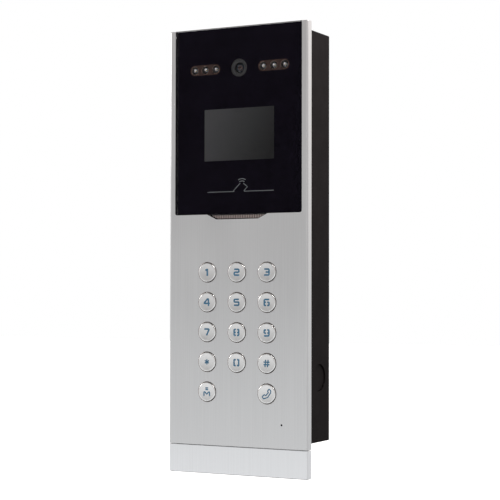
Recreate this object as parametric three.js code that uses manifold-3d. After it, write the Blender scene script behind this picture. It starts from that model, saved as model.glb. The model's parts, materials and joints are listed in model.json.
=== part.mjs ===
// Door-entry video intercom station: a brushed aluminium front unit with a glass
// window, camera, lamps, screen and keypad, hooked onto a black back box.
// Units are millimetres. +Z is up, the front looks along -Y and the wall plane is y = 0.
import * as THREE from 'three';
import { mergeVertices } from 'three/addons/utils/BufferGeometryUtils.js';
import Module from 'manifold-3d';

const wasm = await Module();
wasm.setup();

// ---------------------------------------------------------------- driving dimensions

const DEPTH = 60;                       // wall plane to front face
const FRONT = -DEPTH;                   // y of the front face
const GAP = 0.3;                        // clearance between pieces that touch
const THROUGH = 1;                      // how far a cutter runs past the face it cuts

const PANEL = { width: 140, height: 400, centreZ: -12, rim: 7, face: 3, edgeRadius: 2 };
const PANEL_TOP = PANEL.centreZ + PANEL.height / 2;
const PANEL_BOTTOM = PANEL.centreZ - PANEL.height / 2;
const RIM_BACK = FRONT + PANEL.rim;     // y of the back of the panel's rim
const FACE_BACK = FRONT + PANEL.face;   // y of the back of the panel's thin face
const POCKET_HALF = 52;                 // half width of the pocket behind the panel

const SEAM = { z: PANEL_BOTTOM + 25.2, width: 0.5 };
const PANEL_LOW_EDGE = SEAM.z + SEAM.width / 2;
const COVER_TOP = SEAM.z - SEAM.width / 2;
const TONGUE = { half: 62, front: FRONT + 3.1, back: RIM_BACK - GAP, bottom: PANEL_BOTTOM + 4.8 };
const RIB = { reach: 2, front: FRONT + 4, back: FRONT + 5.4 };

const GLASS = { half: 64, bottom: 20, thickness: 3, recess: 4, cornerRadius: 2 };
const WINDOW = { bottom: 27, top: 172 };          // opening in the panel behind the glass
const KEYPAD_POCKET = { bottom: -178, top: 13 };  // pocket behind the keys
const SLOT = { top: 20, bottom: 15.5, topHalf: 30.5, bottomHalf: 21.1 };

const KEY = { columnPitch: 30.1, rowPitch: 26.75, topRowZ: -31.9, travel: 1.2 };
const KEY_ROWS = [
  ['1', '2', '3'],
  ['4', '5', '6'],
  ['7', '8', '9'],
  ['star', '0', 'hash'],
  ['concierge', null, 'call'],
];
const HOLE = { radius: 9, chamfer: 0.25 };
const CAP = { radius: 8.7, flangeRadius: 10, boreRadius: 6.8, proud: 0.9, edge: 0.85, dish: 0.18, wall: 2 };
const GUIDE = { depth: 1.6, stemRadius: 3 };
const MAT = { half: 46, bottom: -156, top: -20, front: -53.4, back: -52.2, domeRadius: 5, domeHeight: 0.8 };
const KEY_SIDES = 18;
const HOLE_SIDES = 20;

const BOARD_THICKNESS = 1.6;
const BEHIND_GLASS = FRONT + GLASS.thickness + GAP;
const SCREEN = { z: 91.6, width: 85, height: 55, thickness: 3.5 };
const DRIVER = { half: 20, bottom: 3, top: 17, thickness: 1.2 };   // z from the screen's lower edge
const ANTENNA = { half: 45, bottom: 29, top: 61, thickness: 1.2 };
const LENS_Z = 151.2;
const LAMPS = { slotX: 34.7, pitch: 10.65, radius: 2.5, flangeRadius: 2.9, nose: -55.8, back: -47 };
const LAMP_HOLDER = { half: 51, bottom: 140, top: 163, back: -51 };
const LAMP_CUP = { mouthRadius: 4.4, boreRadius: 2.9, depth: 3 };
const BARREL = { radius: 8.1, backRadius: 7, mouthRadius: 7.1, boreRadius: 4.4, step: -52.5, back: -47 };
const LENS = { radius: 4.1, frontRadius: 2.2, front: -56, crown: 1.6, back: -50 };
const CAMERA_BOARD = { half: 50, bottom: 138, top: 165, front: -46.7 };
const MESH = { recess: 1.4, thickness: 0.8, flangeReach: 2.5 };
const MIC = { x: 44.5, z: -165.7, portRadius: 0.9, radius: 4.8, tubeRadius: 1, tubeDepth: 2.6, depth: 6 };
const SPEAKER = { z: 4, radius: 18, front: -51.6, depth: 8, coneBottom: 2.6, magnetScale: 0.6 };

const BOX = { width: 126, height: 366, front: -51.4, wall: 1.5, edgeRadius: 1.5 };
const KNOCKOUT = { y: -21.5, z: -125.7, radius: 12.2, groove: 0.6, depth: 0.7 };
const CABLE = { z: -60, holeRadius: 11, boreRadius: 8, flangeReach: 2, front: -4.5, back: -0.1 };
const WALL_SCREW = { x: 45, z: 150, radius: 2.5 };
const HOOK = { x: 35, width: 14, bottom: 173, top: 180, front: -49.2, thickness: 3 };
const LIP = { half: 58, bottom: 177, thickness: 1.5 };
const EAR = { half: 52, bottom: -206, thickness: 3, bossRadius: 4.2, bossDepth: 4 };
const LOCK = { x: 40, z: -197, radius: 2, headRadius: 3.8, recessRadius: 1.2, sinkReach: 1.7 };

const HOUSING = { half: 53, bottom: -176, top: 168, back: -28, wall: 1.6 };
const FLANGE = { half: 60.5, bottom: -179, top: 171, thickness: 2 };
const HOUSING_SCREW = { x: 57, zs: [150, -160], radius: 1.5, headRadius: 2.7, headHeight: 2.2, tip: -55.2 };
const TERMINAL = { half: 20.5, bottom: -10, top: 2, front: -39.1, back: -24, poles: 8 };
const WIRE_WAY = { half: 1.6, depth: 6, bottom: 2, top: 6 };       // z from the block's lower edge
const MAIN_BOARD = { half: 48, bottom: -18, top: 132 };

// Sides of round pieces, by how large they are.
const SMALL_SIDES = 12;
const MEDIUM_SIDES = 16;
const ARC_SEGMENTS = 4;

// ---------------------------------------------------------------- shape helpers

// A solid from a closed geometry, with shared corners merged and slivers on the axis dropped.
function solidOf(geometry) {
  geometry.deleteAttribute('normal');
  geometry.deleteAttribute('uv');
  const merged = mergeVertices(geometry, 1e-4);
  const corners = merged.getIndex().array;
  const triangles = [];
  for (let i = 0; i < corners.length; i += 3) {
    const [a, b, c] = corners.slice(i, i + 3);
    if (a !== b && b !== c && c !== a) triangles.push(a, b, c);
  }
  const vertProperties = merged.getAttribute('position').array;
  const triVerts = new Uint32Array(triangles);
  return new wasm.Manifold(new wasm.Mesh({ numProp: 3, vertProperties, triVerts }));
}

function geometryOf(solid) {
  const mesh = solid.getMesh();
  const geometry = new THREE.BufferGeometry();
  geometry.setAttribute('position', new THREE.BufferAttribute(mesh.vertProperties, 3));
  geometry.setIndex(new THREE.BufferAttribute(mesh.triVerts, 1));
  geometry.computeVertexNormals();
  return geometry;
}

// A block between two x, two y and two z values.
function block(x0, x1, y0, y1, z0, z1) {
  const geometry = new THREE.BoxGeometry(x1 - x0, y1 - y0, z1 - z0);
  geometry.translate((x0 + x1) / 2, (y0 + y1) / 2, (z0 + z1) / 2);
  return solidOf(geometry);
}

// A block that is as wide on both sides of the x = 0 plane.
function centredBlock(half, y0, y1, z0, z1) {
  return block(-half, half, y0, y1, z0, z1);
}

function extrusion(shape, depth) {
  return new THREE.ExtrudeGeometry(shape, { depth, bevelEnabled: false, curveSegments: ARC_SEGMENTS });
}

// An outline in X and Y drawn up along Z.
function prismZ(shape, z0, z1) {
  const geometry = extrusion(shape, z1 - z0);
  geometry.translate(0, 0, z0);
  return solidOf(geometry);
}

// An outline in X and Z drawn back along Y.
function prismY(shape, y0, y1) {
  const geometry = extrusion(shape, y1 - y0);
  geometry.rotateX(Math.PI / 2);
  geometry.translate(0, y1, 0);
  return solidOf(geometry);
}

// A turned piece about an axis along Y, from [radius, y] points. Its outside runs from front to back.
function turned(profile, sides, x = 0, z = 0) {
  const points = profile.map(([radius, y]) => new THREE.Vector2(radius, y));
  const geometry = new THREE.LatheGeometry(points, sides);
  geometry.translate(x, 0, z);
  return solidOf(geometry);
}

// A round bar or hole along Y.
function roundY(radius, y0, y1, x, z, sides) {
  return turned([[0, y0], [radius, y0], [radius, y1], [0, y1]], sides, x, z);
}

// A round bar or hole along X.
function roundX(radius, x0, x1, y, z, sides) {
  const geometry = new THREE.CylinderGeometry(radius, radius, x1 - x0, sides);
  geometry.rotateZ(Math.PI / 2);
  geometry.translate((x0 + x1) / 2, y, z);
  return solidOf(geometry);
}

function joinAll(first, others) {
  return others.reduce((whole, piece) => whole.add(piece), first);
}

function cutAll(first, cutters) {
  return cutters.reduce((whole, cutter) => whole.subtract(cutter), first);
}

// The panel's cross-section: square at the back, with its two front edges rounded.
function panelSection() {
  const half = PANEL.width / 2;
  const radius = PANEL.edgeRadius;
  const shape = new THREE.Shape();
  shape.moveTo(half, RIM_BACK);
  shape.lineTo(-half, RIM_BACK);
  shape.lineTo(-half, FRONT + radius);
  shape.absarc(-half + radius, FRONT + radius, radius, Math.PI, Math.PI * 1.5, false);
  shape.lineTo(half - radius, FRONT);
  shape.absarc(half - radius, FRONT + radius, radius, -Math.PI / 2, 0, false);
  shape.closePath();
  return shape;
}

// The sound slot's trapezium in X and Z, wide at the top, with every side moved out by grow.
function trapezium(grow) {
  const slope = (SLOT.topHalf - SLOT.bottomHalf) / (SLOT.top - SLOT.bottom);
  const slant = Math.hypot(1, slope);
  const bottomHalf = SLOT.bottomHalf + grow * (slant - slope);
  const topHalf = SLOT.topHalf + grow * (slant + slope);
  const shape = new THREE.Shape();
  shape.moveTo(-bottomHalf, SLOT.bottom - grow);
  shape.lineTo(bottomHalf, SLOT.bottom - grow);
  shape.lineTo(topHalf, SLOT.top + grow);
  shape.lineTo(-topHalf, SLOT.top + grow);
  shape.closePath();
  return shape;
}

// The glass's outline in X and Z: square at the top, with its two lower corners rounded.
function glassOutline(half, bottom, top, radius) {
  const shape = new THREE.Shape();
  shape.moveTo(half, top);
  shape.lineTo(-half, top);
  shape.lineTo(-half, bottom + radius);
  shape.absarc(-half + radius, bottom + radius, radius, Math.PI, Math.PI * 1.5, false);
  shape.lineTo(half - radius, bottom);
  shape.absarc(half - radius, bottom + radius, radius, -Math.PI / 2, 0, false);
  shape.closePath();
  return shape;
}

// ---------------------------------------------------------------- layout of what repeats

const keys = KEY_ROWS.flatMap((row, rowIndex) => row.map((label, column) => ({
  label,
  x: (column - 1) * KEY.columnPitch,
  z: KEY.topRowZ - rowIndex * KEY.rowPitch,
}))).filter((key) => key.label !== null);

const lamps = [-LAMPS.slotX, LAMPS.slotX].flatMap(
  (slotX) => [-1, 0, 1].map((step) => slotX + step * LAMPS.pitch),
);

const housingScrews = HOUSING_SCREW.zs.flatMap(
  (z) => [-HOUSING_SCREW.x, HOUSING_SCREW.x].map((x) => ({ x, z })),
);

// ---------------------------------------------------------------- front unit: metalwork

function keyHole({ x, z }) {
  const { radius, chamfer } = HOLE;
  return turned([
    [0, FRONT - THROUGH],
    [radius + chamfer + THROUGH, FRONT - THROUGH],
    [radius, FRONT + chamfer],
    [radius, FACE_BACK + THROUGH],
    [0, FACE_BACK + THROUGH],
  ], HOLE_SIDES, x, z);
}

// An upright behind the panel that slips up behind the back box's lip.
function hook(side) {
  const x0 = side * HOOK.x - HOOK.width / 2;
  const x1 = side * HOOK.x + HOOK.width / 2;
  const back = HOOK.front + HOOK.thickness;
  const neck = block(x0, x1, RIM_BACK - THROUGH, back, HOOK.bottom, HOOK.bottom + HOOK.thickness);
  const upright = block(x0, x1, HOOK.front, back, HOOK.bottom, HOOK.top);
  return neck.add(upright);
}

// The tongue below the seam that the bottom cover slides onto, with a rib on each side.
function tongue() {
  const joinTop = PANEL_LOW_EDGE + THROUGH;
  const plate = centredBlock(TONGUE.half, TONGUE.front, TONGUE.back, TONGUE.bottom, joinTop);
  const ribs = centredBlock(TONGUE.half + RIB.reach, RIB.front, RIB.back, TONGUE.bottom, joinTop);
  const shankRadius = LOCK.radius + GAP;
  const holes = [-LOCK.x, LOCK.x].map((x) => turned([
    [0, TONGUE.front - THROUGH],
    [LOCK.headRadius + LOCK.sinkReach, TONGUE.front - THROUGH],
    [shankRadius, TONGUE.front + LOCK.headRadius + LOCK.sinkReach - shankRadius - THROUGH],
    [shankRadius, TONGUE.back + THROUGH],
    [0, TONGUE.back + THROUGH],
  ], MEDIUM_SIDES, x, LOCK.z));
  return cutAll(plate.add(ribs), holes);
}

function frontPanel() {
  const recessBack = FRONT + GLASS.recess;
  const plate = prismZ(panelSection(), PANEL_LOW_EDGE, PANEL_TOP);
  const recess = prismY(
    glassOutline(GLASS.half, GLASS.bottom, PANEL_TOP + THROUGH, GLASS.cornerRadius),
    FRONT - THROUGH,
    recessBack,
  );
  const window = centredBlock(
    POCKET_HALF,
    recessBack - THROUGH,
    RIM_BACK + THROUGH,
    WINDOW.bottom,
    WINDOW.top,
  );
  const pocket = centredBlock(
    POCKET_HALF,
    FACE_BACK,
    RIM_BACK + THROUGH,
    KEYPAD_POCKET.bottom,
    KEYPAD_POCKET.top,
  );
  const slot = prismY(trapezium(0), FRONT - THROUGH, RIM_BACK + THROUGH);
  const micPort = roundY(
    MIC.portRadius,
    FRONT - THROUGH,
    FACE_BACK + THROUGH,
    MIC.x,
    MIC.z,
    SMALL_SIDES,
  );
  const screwHoles = housingScrews.map(({ x, z }) => roundY(
    HOUSING_SCREW.radius + GAP,
    HOUSING_SCREW.tip - GAP,
    RIM_BACK + THROUGH,
    x,
    z,
    SMALL_SIDES,
  ));
  const cut = cutAll(plate, [recess, window, pocket, slot, micPort, ...screwHoles, ...keys.map(keyHole)]);
  return joinAll(cut, [hook(-1), hook(1), tongue()]);
}

// The strip below the seam: hollow behind, grooved to run on the tongue's ribs.
function bottomCover() {
  const strip = prismZ(panelSection(), PANEL_BOTTOM, COVER_TOP);
  const hollow = centredBlock(
    TONGUE.half + GAP,
    TONGUE.front - GAP,
    RIM_BACK + THROUGH,
    TONGUE.bottom - GAP,
    COVER_TOP + THROUGH,
  );
  const grooves = centredBlock(
    TONGUE.half + RIB.reach + GAP,
    RIB.front - GAP,
    RIB.back + GAP,
    TONGUE.bottom - GAP,
    COVER_TOP + THROUGH,
  );
  return cutAll(strip, [hollow, grooves]);
}

// ---------------------------------------------------------------- front unit: window

function windowGlass() {
  const outline = glassOutline(
    GLASS.half - GAP,
    GLASS.bottom + GAP,
    PANEL_TOP,
    GLASS.cornerRadius,
  );
  return prismY(outline, FRONT, FRONT + GLASS.thickness);
}

function screenModule() {
  const z0 = SCREEN.z - SCREEN.height / 2;
  const back = BEHIND_GLASS + SCREEN.thickness;
  const module = centredBlock(SCREEN.width / 2, BEHIND_GLASS, back, z0, z0 + SCREEN.height);
  const driver = centredBlock(
    DRIVER.half,
    back - THROUGH,
    back + DRIVER.thickness,
    z0 + DRIVER.bottom,
    z0 + DRIVER.top,
  );
  return module.add(driver);
}

function rfidAntenna() {
  const { half, bottom, top, thickness } = ANTENNA;
  return centredBlock(half, BEHIND_GLASS, BEHIND_GLASS + thickness, bottom, top);
}

// The moulded bar behind the glass: six lamp cups and a round opening for the camera.
function lampHolder() {
  const { half, bottom, top, back } = LAMP_HOLDER;
  const bar = centredBlock(half, BEHIND_GLASS, back, bottom, top);
  const cups = lamps.map((x) => turned([
    [0, BEHIND_GLASS - THROUGH],
    [LAMP_CUP.mouthRadius, BEHIND_GLASS - THROUGH],
    [LAMP_CUP.boreRadius, BEHIND_GLASS + LAMP_CUP.depth],
    [LAMP_CUP.boreRadius, back + THROUGH],
    [0, back + THROUGH],
  ], MEDIUM_SIDES, x, LENS_Z));
  const opening = roundY(
    BARREL.radius + 0.4,
    BEHIND_GLASS - THROUGH,
    back + THROUGH,
    0,
    LENS_Z,
    HOLE_SIDES,
  );
  return cutAll(bar, [opening, ...cups]);
}

// A 5 mm lamp with its domed nose towards the glass, before it is placed.
function lamp() {
  const { radius, flangeRadius, nose, back } = LAMPS;
  return turned([
    [0, nose],
    [radius * 0.75, nose + radius * 0.32],
    [radius, nose + radius * 0.96],
    [radius, back - 1],
    [flangeRadius, back - 1],
    [flangeRadius, back],
    [0, back],
  ], SMALL_SIDES);
}

// The tube around the lens, coned inside from its mouth down to the lens's bore.
function cameraBarrel() {
  const { radius, backRadius, mouthRadius, boreRadius, step, back } = BARREL;
  const front = BEHIND_GLASS + 0.2;
  return turned([
    [mouthRadius, front],
    [radius, front],
    [radius, step],
    [backRadius, step],
    [backRadius, back],
    [boreRadius, back],
    [boreRadius, LENS.front + 1.4],
    [mouthRadius, front],
  ], KEY_SIDES, 0, LENS_Z);
}

function cameraLens() {
  const { radius, frontRadius, front, crown, back } = LENS;
  return turned([
    [0, front],
    [frontRadius, front + crown / 4],
    [radius, front + crown],
    [radius, back],
    [0, back],
  ], KEY_SIDES, 0, LENS_Z);
}

function cameraBoard() {
  const { half, bottom, top, front } = CAMERA_BOARD;
  return centredBlock(half, front, front + BOARD_THICKNESS, bottom, top);
}

// ---------------------------------------------------------------- front unit: sound

// A pressed pan behind the slot: open at the back, with a flange to hold it.
function speakerMesh() {
  const { recess, thickness, flangeReach } = MESH;
  const front = FRONT + recess;
  const flangeFront = RIM_BACK + GAP;
  const back = flangeFront + thickness;
  const pan = prismY(trapezium(-GAP), front, flangeFront + thickness / 2);
  const flange = prismY(trapezium(flangeReach), flangeFront, back);
  const hollow = prismY(trapezium(-GAP - thickness), front + thickness, back + THROUGH);
  return pan.add(flange).subtract(hollow);
}

// The speaker: a dust cap and cone in front, a rolled rim and a magnet behind.
function speaker() {
  const { front, radius, depth, z, coneBottom, magnetScale } = SPEAKER;
  return turned([
    [0, front + coneBottom],
    [radius * 0.28, front + coneBottom / 2],
    [radius - 3, front + coneBottom * 0.6],
    [radius - 1.6, front],
    [radius, front],
    [radius, front + 2],
    [radius * magnetScale, front + 5],
    [radius * magnetScale, front + depth],
    [0, front + depth],
  ], HOLE_SIDES, 0, z);
}

// The capsule in its rubber boot, with the sound port open to the hole in the panel.
function microphone() {
  const { x, z, radius, tubeRadius, tubeDepth, depth } = MIC;
  return turned([
    [0, FACE_BACK + tubeDepth],
    [tubeRadius, FACE_BACK + tubeDepth],
    [tubeRadius, FACE_BACK + GAP],
    [radius, FACE_BACK + GAP],
    [radius, FACE_BACK + depth],
    [0, FACE_BACK + depth],
  ], MEDIUM_SIDES, x, z);
}

// ---------------------------------------------------------------- front unit: keypad

const CAP_BACK = FACE_BACK + GAP + 1;
const CAP_INSIDE = FRONT - CAP.proud + CAP.wall;

// One key cap, dished in front and hollow behind, before it is placed.
function keyCap() {
  const { radius, flangeRadius, boreRadius, proud, edge, dish } = CAP;
  const front = FRONT - proud;
  return turned([
    [0, front + dish],
    [radius - edge, front],
    [radius - edge * 0.3, front + edge * 0.3],
    [radius, front + edge],
    [radius, FACE_BACK + GAP],
    [flangeRadius, FACE_BACK + GAP],
    [flangeRadius, CAP_BACK],
    [boreRadius, CAP_BACK],
    [boreRadius, CAP_INSIDE],
    [0, CAP_INSIDE],
  ], KEY_SIDES);
}

// The clear plug inside a cap that carries light from the board to the legend.
function lightGuide() {
  const radius = CAP.boreRadius - GAP - 0.1;
  const front = CAP_INSIDE + GAP;
  return turned([
    [0, front],
    [radius, front],
    [radius, front + GUIDE.depth],
    [GUIDE.stemRadius, CAP_BACK],
    [0, CAP_BACK],
  ], SMALL_SIDES);
}

// The rubber mat: one low dome under each key, shown as low as a pressed key leaves it.
function keypadMat() {
  const sheet = centredBlock(MAT.half, MAT.front, MAT.back, MAT.bottom, MAT.top);
  const domes = keys.map(({ x, z }) => turned([
    [0, MAT.front - MAT.domeHeight],
    [MAT.domeRadius - 1, MAT.front - MAT.domeHeight],
    [MAT.domeRadius, MAT.front + 0.4],
    [0, MAT.front + 0.4],
  ], SMALL_SIDES, x, z));
  return joinAll(sheet, domes);
}

function keypadBoard() {
  const front = MAT.back + GAP;
  return centredBlock(MAT.half, front, front + BOARD_THICKNESS, MAT.bottom, MAT.top);
}

// ---------------------------------------------------------------- front unit: back

function mainBoard() {
  const back = TERMINAL.front - GAP;
  return centredBlock(MAIN_BOARD.half, back - BOARD_THICKNESS, back, MAIN_BOARD.bottom, MAIN_BOARD.top);
}

function terminalBlock() {
  const { half, front, back, bottom, top, poles } = TERMINAL;
  const body = centredBlock(half, front, back, bottom, top);
  const pitch = (2 * half) / poles;
  const wireWays = Array.from({ length: poles }, (_, i) => {
    const x = -half + (i + 0.5) * pitch;
    return block(
      x - WIRE_WAY.half,
      x + WIRE_WAY.half,
      back - WIRE_WAY.depth,
      back + THROUGH,
      bottom + WIRE_WAY.bottom,
      bottom + WIRE_WAY.top,
    );
  });
  return cutAll(body, wireWays);
}

// The tray that closes the front unit behind, with a flange screwed to the panel.
function rearHousing() {
  const flangeFront = RIM_BACK + GAP;
  const flangeBack = flangeFront + FLANGE.thickness;
  const { half, bottom, top, back, wall } = HOUSING;
  const tray = centredBlock(half, flangeFront, back, bottom, top);
  const flange = centredBlock(FLANGE.half, flangeFront, flangeBack, FLANGE.bottom, FLANGE.top);
  const inside = centredBlock(half - wall, flangeFront - THROUGH, back - wall, bottom + wall, top - wall);
  const outlet = centredBlock(
    TERMINAL.half + GAP,
    back - wall - THROUGH,
    back + THROUGH,
    TERMINAL.bottom - GAP,
    TERMINAL.top + GAP,
  );
  const screwHoles = housingScrews.map(({ x, z }) => roundY(
    HOUSING_SCREW.radius + GAP,
    flangeFront - THROUGH,
    flangeBack + THROUGH,
    x,
    z,
    SMALL_SIDES,
  ));
  return cutAll(tray.add(flange), [inside, outlet, ...screwHoles]);
}

// ---------------------------------------------------------------- screws, before they are placed

function housingScrew() {
  const { radius, headRadius, headHeight, tip } = HOUSING_SCREW;
  const headFront = RIM_BACK + GAP + FLANGE.thickness + GAP;
  const headBack = headFront + headHeight;
  return turned([
    [0, tip],
    [radius, tip],
    [radius, headFront],
    [headRadius, headFront],
    [headRadius, headBack],
    [1, headBack],
    [1, headBack - 1],
    [0, headBack - 1],
  ], SMALL_SIDES);
}

function lockScrew() {
  const { radius, headRadius, recessRadius } = LOCK;
  const headFront = TONGUE.front + GAP;
  const coneBack = headFront + headRadius - radius;
  const tip = BOX.front + EAR.thickness + EAR.bossDepth;
  return turned([
    [0, headFront + recessRadius],
    [recessRadius, headFront + recessRadius],
    [recessRadius, headFront],
    [headRadius, headFront],
    [radius, coneBack],
    [radius, tip],
    [0, tip],
  ], SMALL_SIDES);
}

// ---------------------------------------------------------------- back box

// The box's cross-section: its two edges against the wall are rounded.
function boxSection() {
  const half = BOX.width / 2;
  const radius = BOX.edgeRadius;
  const shape = new THREE.Shape();
  shape.moveTo(-half, BOX.front);
  shape.lineTo(half, BOX.front);
  shape.lineTo(half, -radius);
  shape.absarc(half - radius, -radius, radius, 0, Math.PI / 2, false);
  shape.lineTo(-half + radius, 0);
  shape.absarc(-half + radius, -radius, radius, Math.PI / 2, Math.PI, false);
  shape.closePath();
  return shape;
}

// A shallow ring groove in one side wall, around a disc that can be knocked out for a pipe.
function knockoutGroove(side) {
  const outside = BOX.width / 2;
  const { y, z, radius, groove, depth } = KNOCKOUT;
  const x0 = Math.min(side * (outside - depth), side * (outside + THROUGH));
  const x1 = Math.max(side * (outside - depth), side * (outside + THROUGH));
  const outer = roundX(radius, x0, x1, y, z, HOLE_SIDES);
  const inner = roundX(radius - groove, x0 - THROUGH, x1 + THROUGH, y, z, HOLE_SIDES);
  return outer.subtract(inner);
}

// The ear below the box, hidden behind the bottom cover, with a threaded boss for each lock screw.
function lowerEar() {
  const earBack = BOX.front + EAR.thickness;
  const bossBack = earBack + EAR.bossDepth;
  const plate = centredBlock(EAR.half, BOX.front, earBack, EAR.bottom, -BOX.height / 2 + BOX.wall);
  const bosses = [-LOCK.x, LOCK.x].map((x) => roundY(
    EAR.bossRadius,
    earBack - THROUGH,
    bossBack,
    x,
    LOCK.z,
    MEDIUM_SIDES,
  ));
  const bores = [-LOCK.x, LOCK.x].map((x) => roundY(
    LOCK.radius + GAP,
    BOX.front - THROUGH,
    bossBack + THROUGH,
    x,
    LOCK.z,
    SMALL_SIDES,
  ));
  return cutAll(joinAll(plate, bosses), bores);
}

function backBox() {
  const halfHeight = BOX.height / 2;
  const inner = halfHeight - BOX.wall;
  const shell = prismZ(boxSection(), -halfHeight, halfHeight);
  const inside = centredBlock(BOX.width / 2 - BOX.wall, BOX.front - THROUGH, -BOX.wall, -inner, inner);
  const lip = centredBlock(LIP.half, BOX.front, BOX.front + LIP.thickness, LIP.bottom, inner + THROUGH / 2);
  const cableHole = roundY(CABLE.holeRadius, -BOX.wall - THROUGH, THROUGH, 0, CABLE.z, HOLE_SIDES);
  const wallHoles = [-1, 1].flatMap((sideX) => [-1, 1].map((sideZ) => roundY(
    WALL_SCREW.radius,
    -BOX.wall - THROUGH,
    THROUGH,
    sideX * WALL_SCREW.x,
    sideZ * WALL_SCREW.z,
    SMALL_SIDES,
  )));
  const grooves = [knockoutGroove(-1), knockoutGroove(1)];
  return cutAll(joinAll(shell.subtract(inside), [lip, lowerEar()]), [cableHole, ...wallHoles, ...grooves]);
}

// The foam ring between the panel's rim and the box's front edge.
function boxGasket() {
  const front = RIM_BACK + GAP;
  const back = BOX.front - GAP;
  const halfWidth = BOX.width / 2;
  const halfHeight = BOX.height / 2;
  const width = BOX.wall + GAP;
  const outer = centredBlock(halfWidth, front, back, -halfHeight, halfHeight);
  const inner = centredBlock(
    halfWidth - width,
    front - THROUGH,
    back + THROUGH,
    -halfHeight + width,
    halfHeight - width,
  );
  return outer.subtract(inner);
}

// The rubber bush in the cable hole, with its flange inside the box.
function cableGrommet() {
  const { holeRadius, boreRadius, flangeReach, front, back, z } = CABLE;
  const flangeBack = -BOX.wall - GAP;
  return turned([
    [boreRadius, front],
    [holeRadius + flangeReach, front],
    [holeRadius + flangeReach, flangeBack],
    [holeRadius - GAP, flangeBack],
    [holeRadius - GAP, back],
    [boreRadius, back],
    [boreRadius, front],
  ], KEY_SIDES, 0, z);
}

// ---------------------------------------------------------------- the assembly

const model = new THREE.Group();

function finish(color, roughness, metalness) {
  return () => new THREE.MeshStandardMaterial({ color, roughness, metalness });
}

const brushedAluminium = finish(0xb9babb, 0.38, 0.9);
const blackGlass = finish(0x0d0a11, 0.05, 0);
const darkScreen = finish(0x2c2c2d, 0.25, 0);
const satinSilver = finish(0xd0cfcc, 0.35, 0.5);
const blueLegend = finish(0x527a9b, 0.45, 0);
const blackPlastic = finish(0x1d1c1c, 0.6, 0);
const brownPlastic = finish(0x3c2a26, 0.55, 0);
const clearLens = finish(0xc8ccd0, 0.1, 0);
const blackPaint = finish(0x242223, 0.6, 0.1);
const blackRubber = finish(0x151515, 0.85, 0);
const greyRubber = finish(0x8b8b88, 0.8, 0);
const greenBoard = finish(0x1f5a38, 0.5, 0);
const greenPlastic = finish(0x2f8a4a, 0.5, 0);
const meshMetal = finish(0x6a5f58, 0.5, 0.6);
const zincSteel = finish(0xa9acae, 0.35, 0.9);

function addPiece(name, geometry, material, x = 0, z = 0) {
  const mesh = new THREE.Mesh(geometry, material());
  mesh.name = name;
  mesh.position.set(x, 0, z);
  model.add(mesh);
}

addPiece('front_panel', geometryOf(frontPanel()), brushedAluminium);
addPiece('bottom_cover', geometryOf(bottomCover()), brushedAluminium);
addPiece('window_glass', geometryOf(windowGlass()), blackGlass);
addPiece('lcd_module', geometryOf(screenModule()), darkScreen);
addPiece('rfid_antenna', geometryOf(rfidAntenna()), greenBoard);
addPiece('lamp_holder', geometryOf(lampHolder()), brownPlastic);
addPiece('camera_barrel', geometryOf(cameraBarrel()), blackPlastic);
addPiece('camera_lens', geometryOf(cameraLens()), clearLens);
addPiece('camera_board', geometryOf(cameraBoard()), greenBoard);
addPiece('speaker_mesh', geometryOf(speakerMesh()), meshMetal);
addPiece('speaker', geometryOf(speaker()), blackPlastic);
addPiece('microphone', geometryOf(microphone()), blackRubber);
addPiece('keypad_mat', geometryOf(keypadMat()), greyRubber);
addPiece('keypad_board', geometryOf(keypadBoard()), greenBoard);
addPiece('main_board', geometryOf(mainBoard()), greenBoard);
addPiece('terminal_block', geometryOf(terminalBlock()), greenPlastic);
addPiece('rear_housing', geometryOf(rearHousing()), blackPlastic);
addPiece('back_box', geometryOf(backBox()), blackPaint);
addPiece('box_gasket', geometryOf(boxGasket()), blackRubber);
addPiece('cable_grommet', geometryOf(cableGrommet()), blackRubber);

const capGeometry = geometryOf(keyCap());
const guideGeometry = geometryOf(lightGuide());
for (const { label, x, z } of keys) {
  addPiece(`key_${label}_cap`, capGeometry, satinSilver, x, z);
  addPiece(`key_${label}_light_guide`, guideGeometry, blueLegend, x, z);
}

const lampGeometry = geometryOf(lamp());
lamps.forEach((x, i) => addPiece(`infrared_lamp_${i + 1}`, lampGeometry, clearLens, x, LENS_Z));

const housingScrewGeometry = geometryOf(housingScrew());
housingScrews.forEach(({ x, z }, i) => {
  addPiece(`housing_screw_${i + 1}`, housingScrewGeometry, zincSteel, x, z);
});

const lockScrewGeometry = geometryOf(lockScrew());
addPiece('lock_screw_left', lockScrewGeometry, zincSteel, -LOCK.x, LOCK.z);
addPiece('lock_screw_right', lockScrewGeometry, zincSteel, LOCK.x, LOCK.z);

export default model;
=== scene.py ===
"""Looks of the door-entry video intercom station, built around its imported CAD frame.

Units are metres, +Z is up, the front looks along -Y and the wall plane is y = 0.
Places come from the CAD nodes' boxes. Sizes that only the looks need are named below, in millimetres.
"""
import json
import math

import bmesh
import bpy
from mathutils import Matrix, Vector

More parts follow.
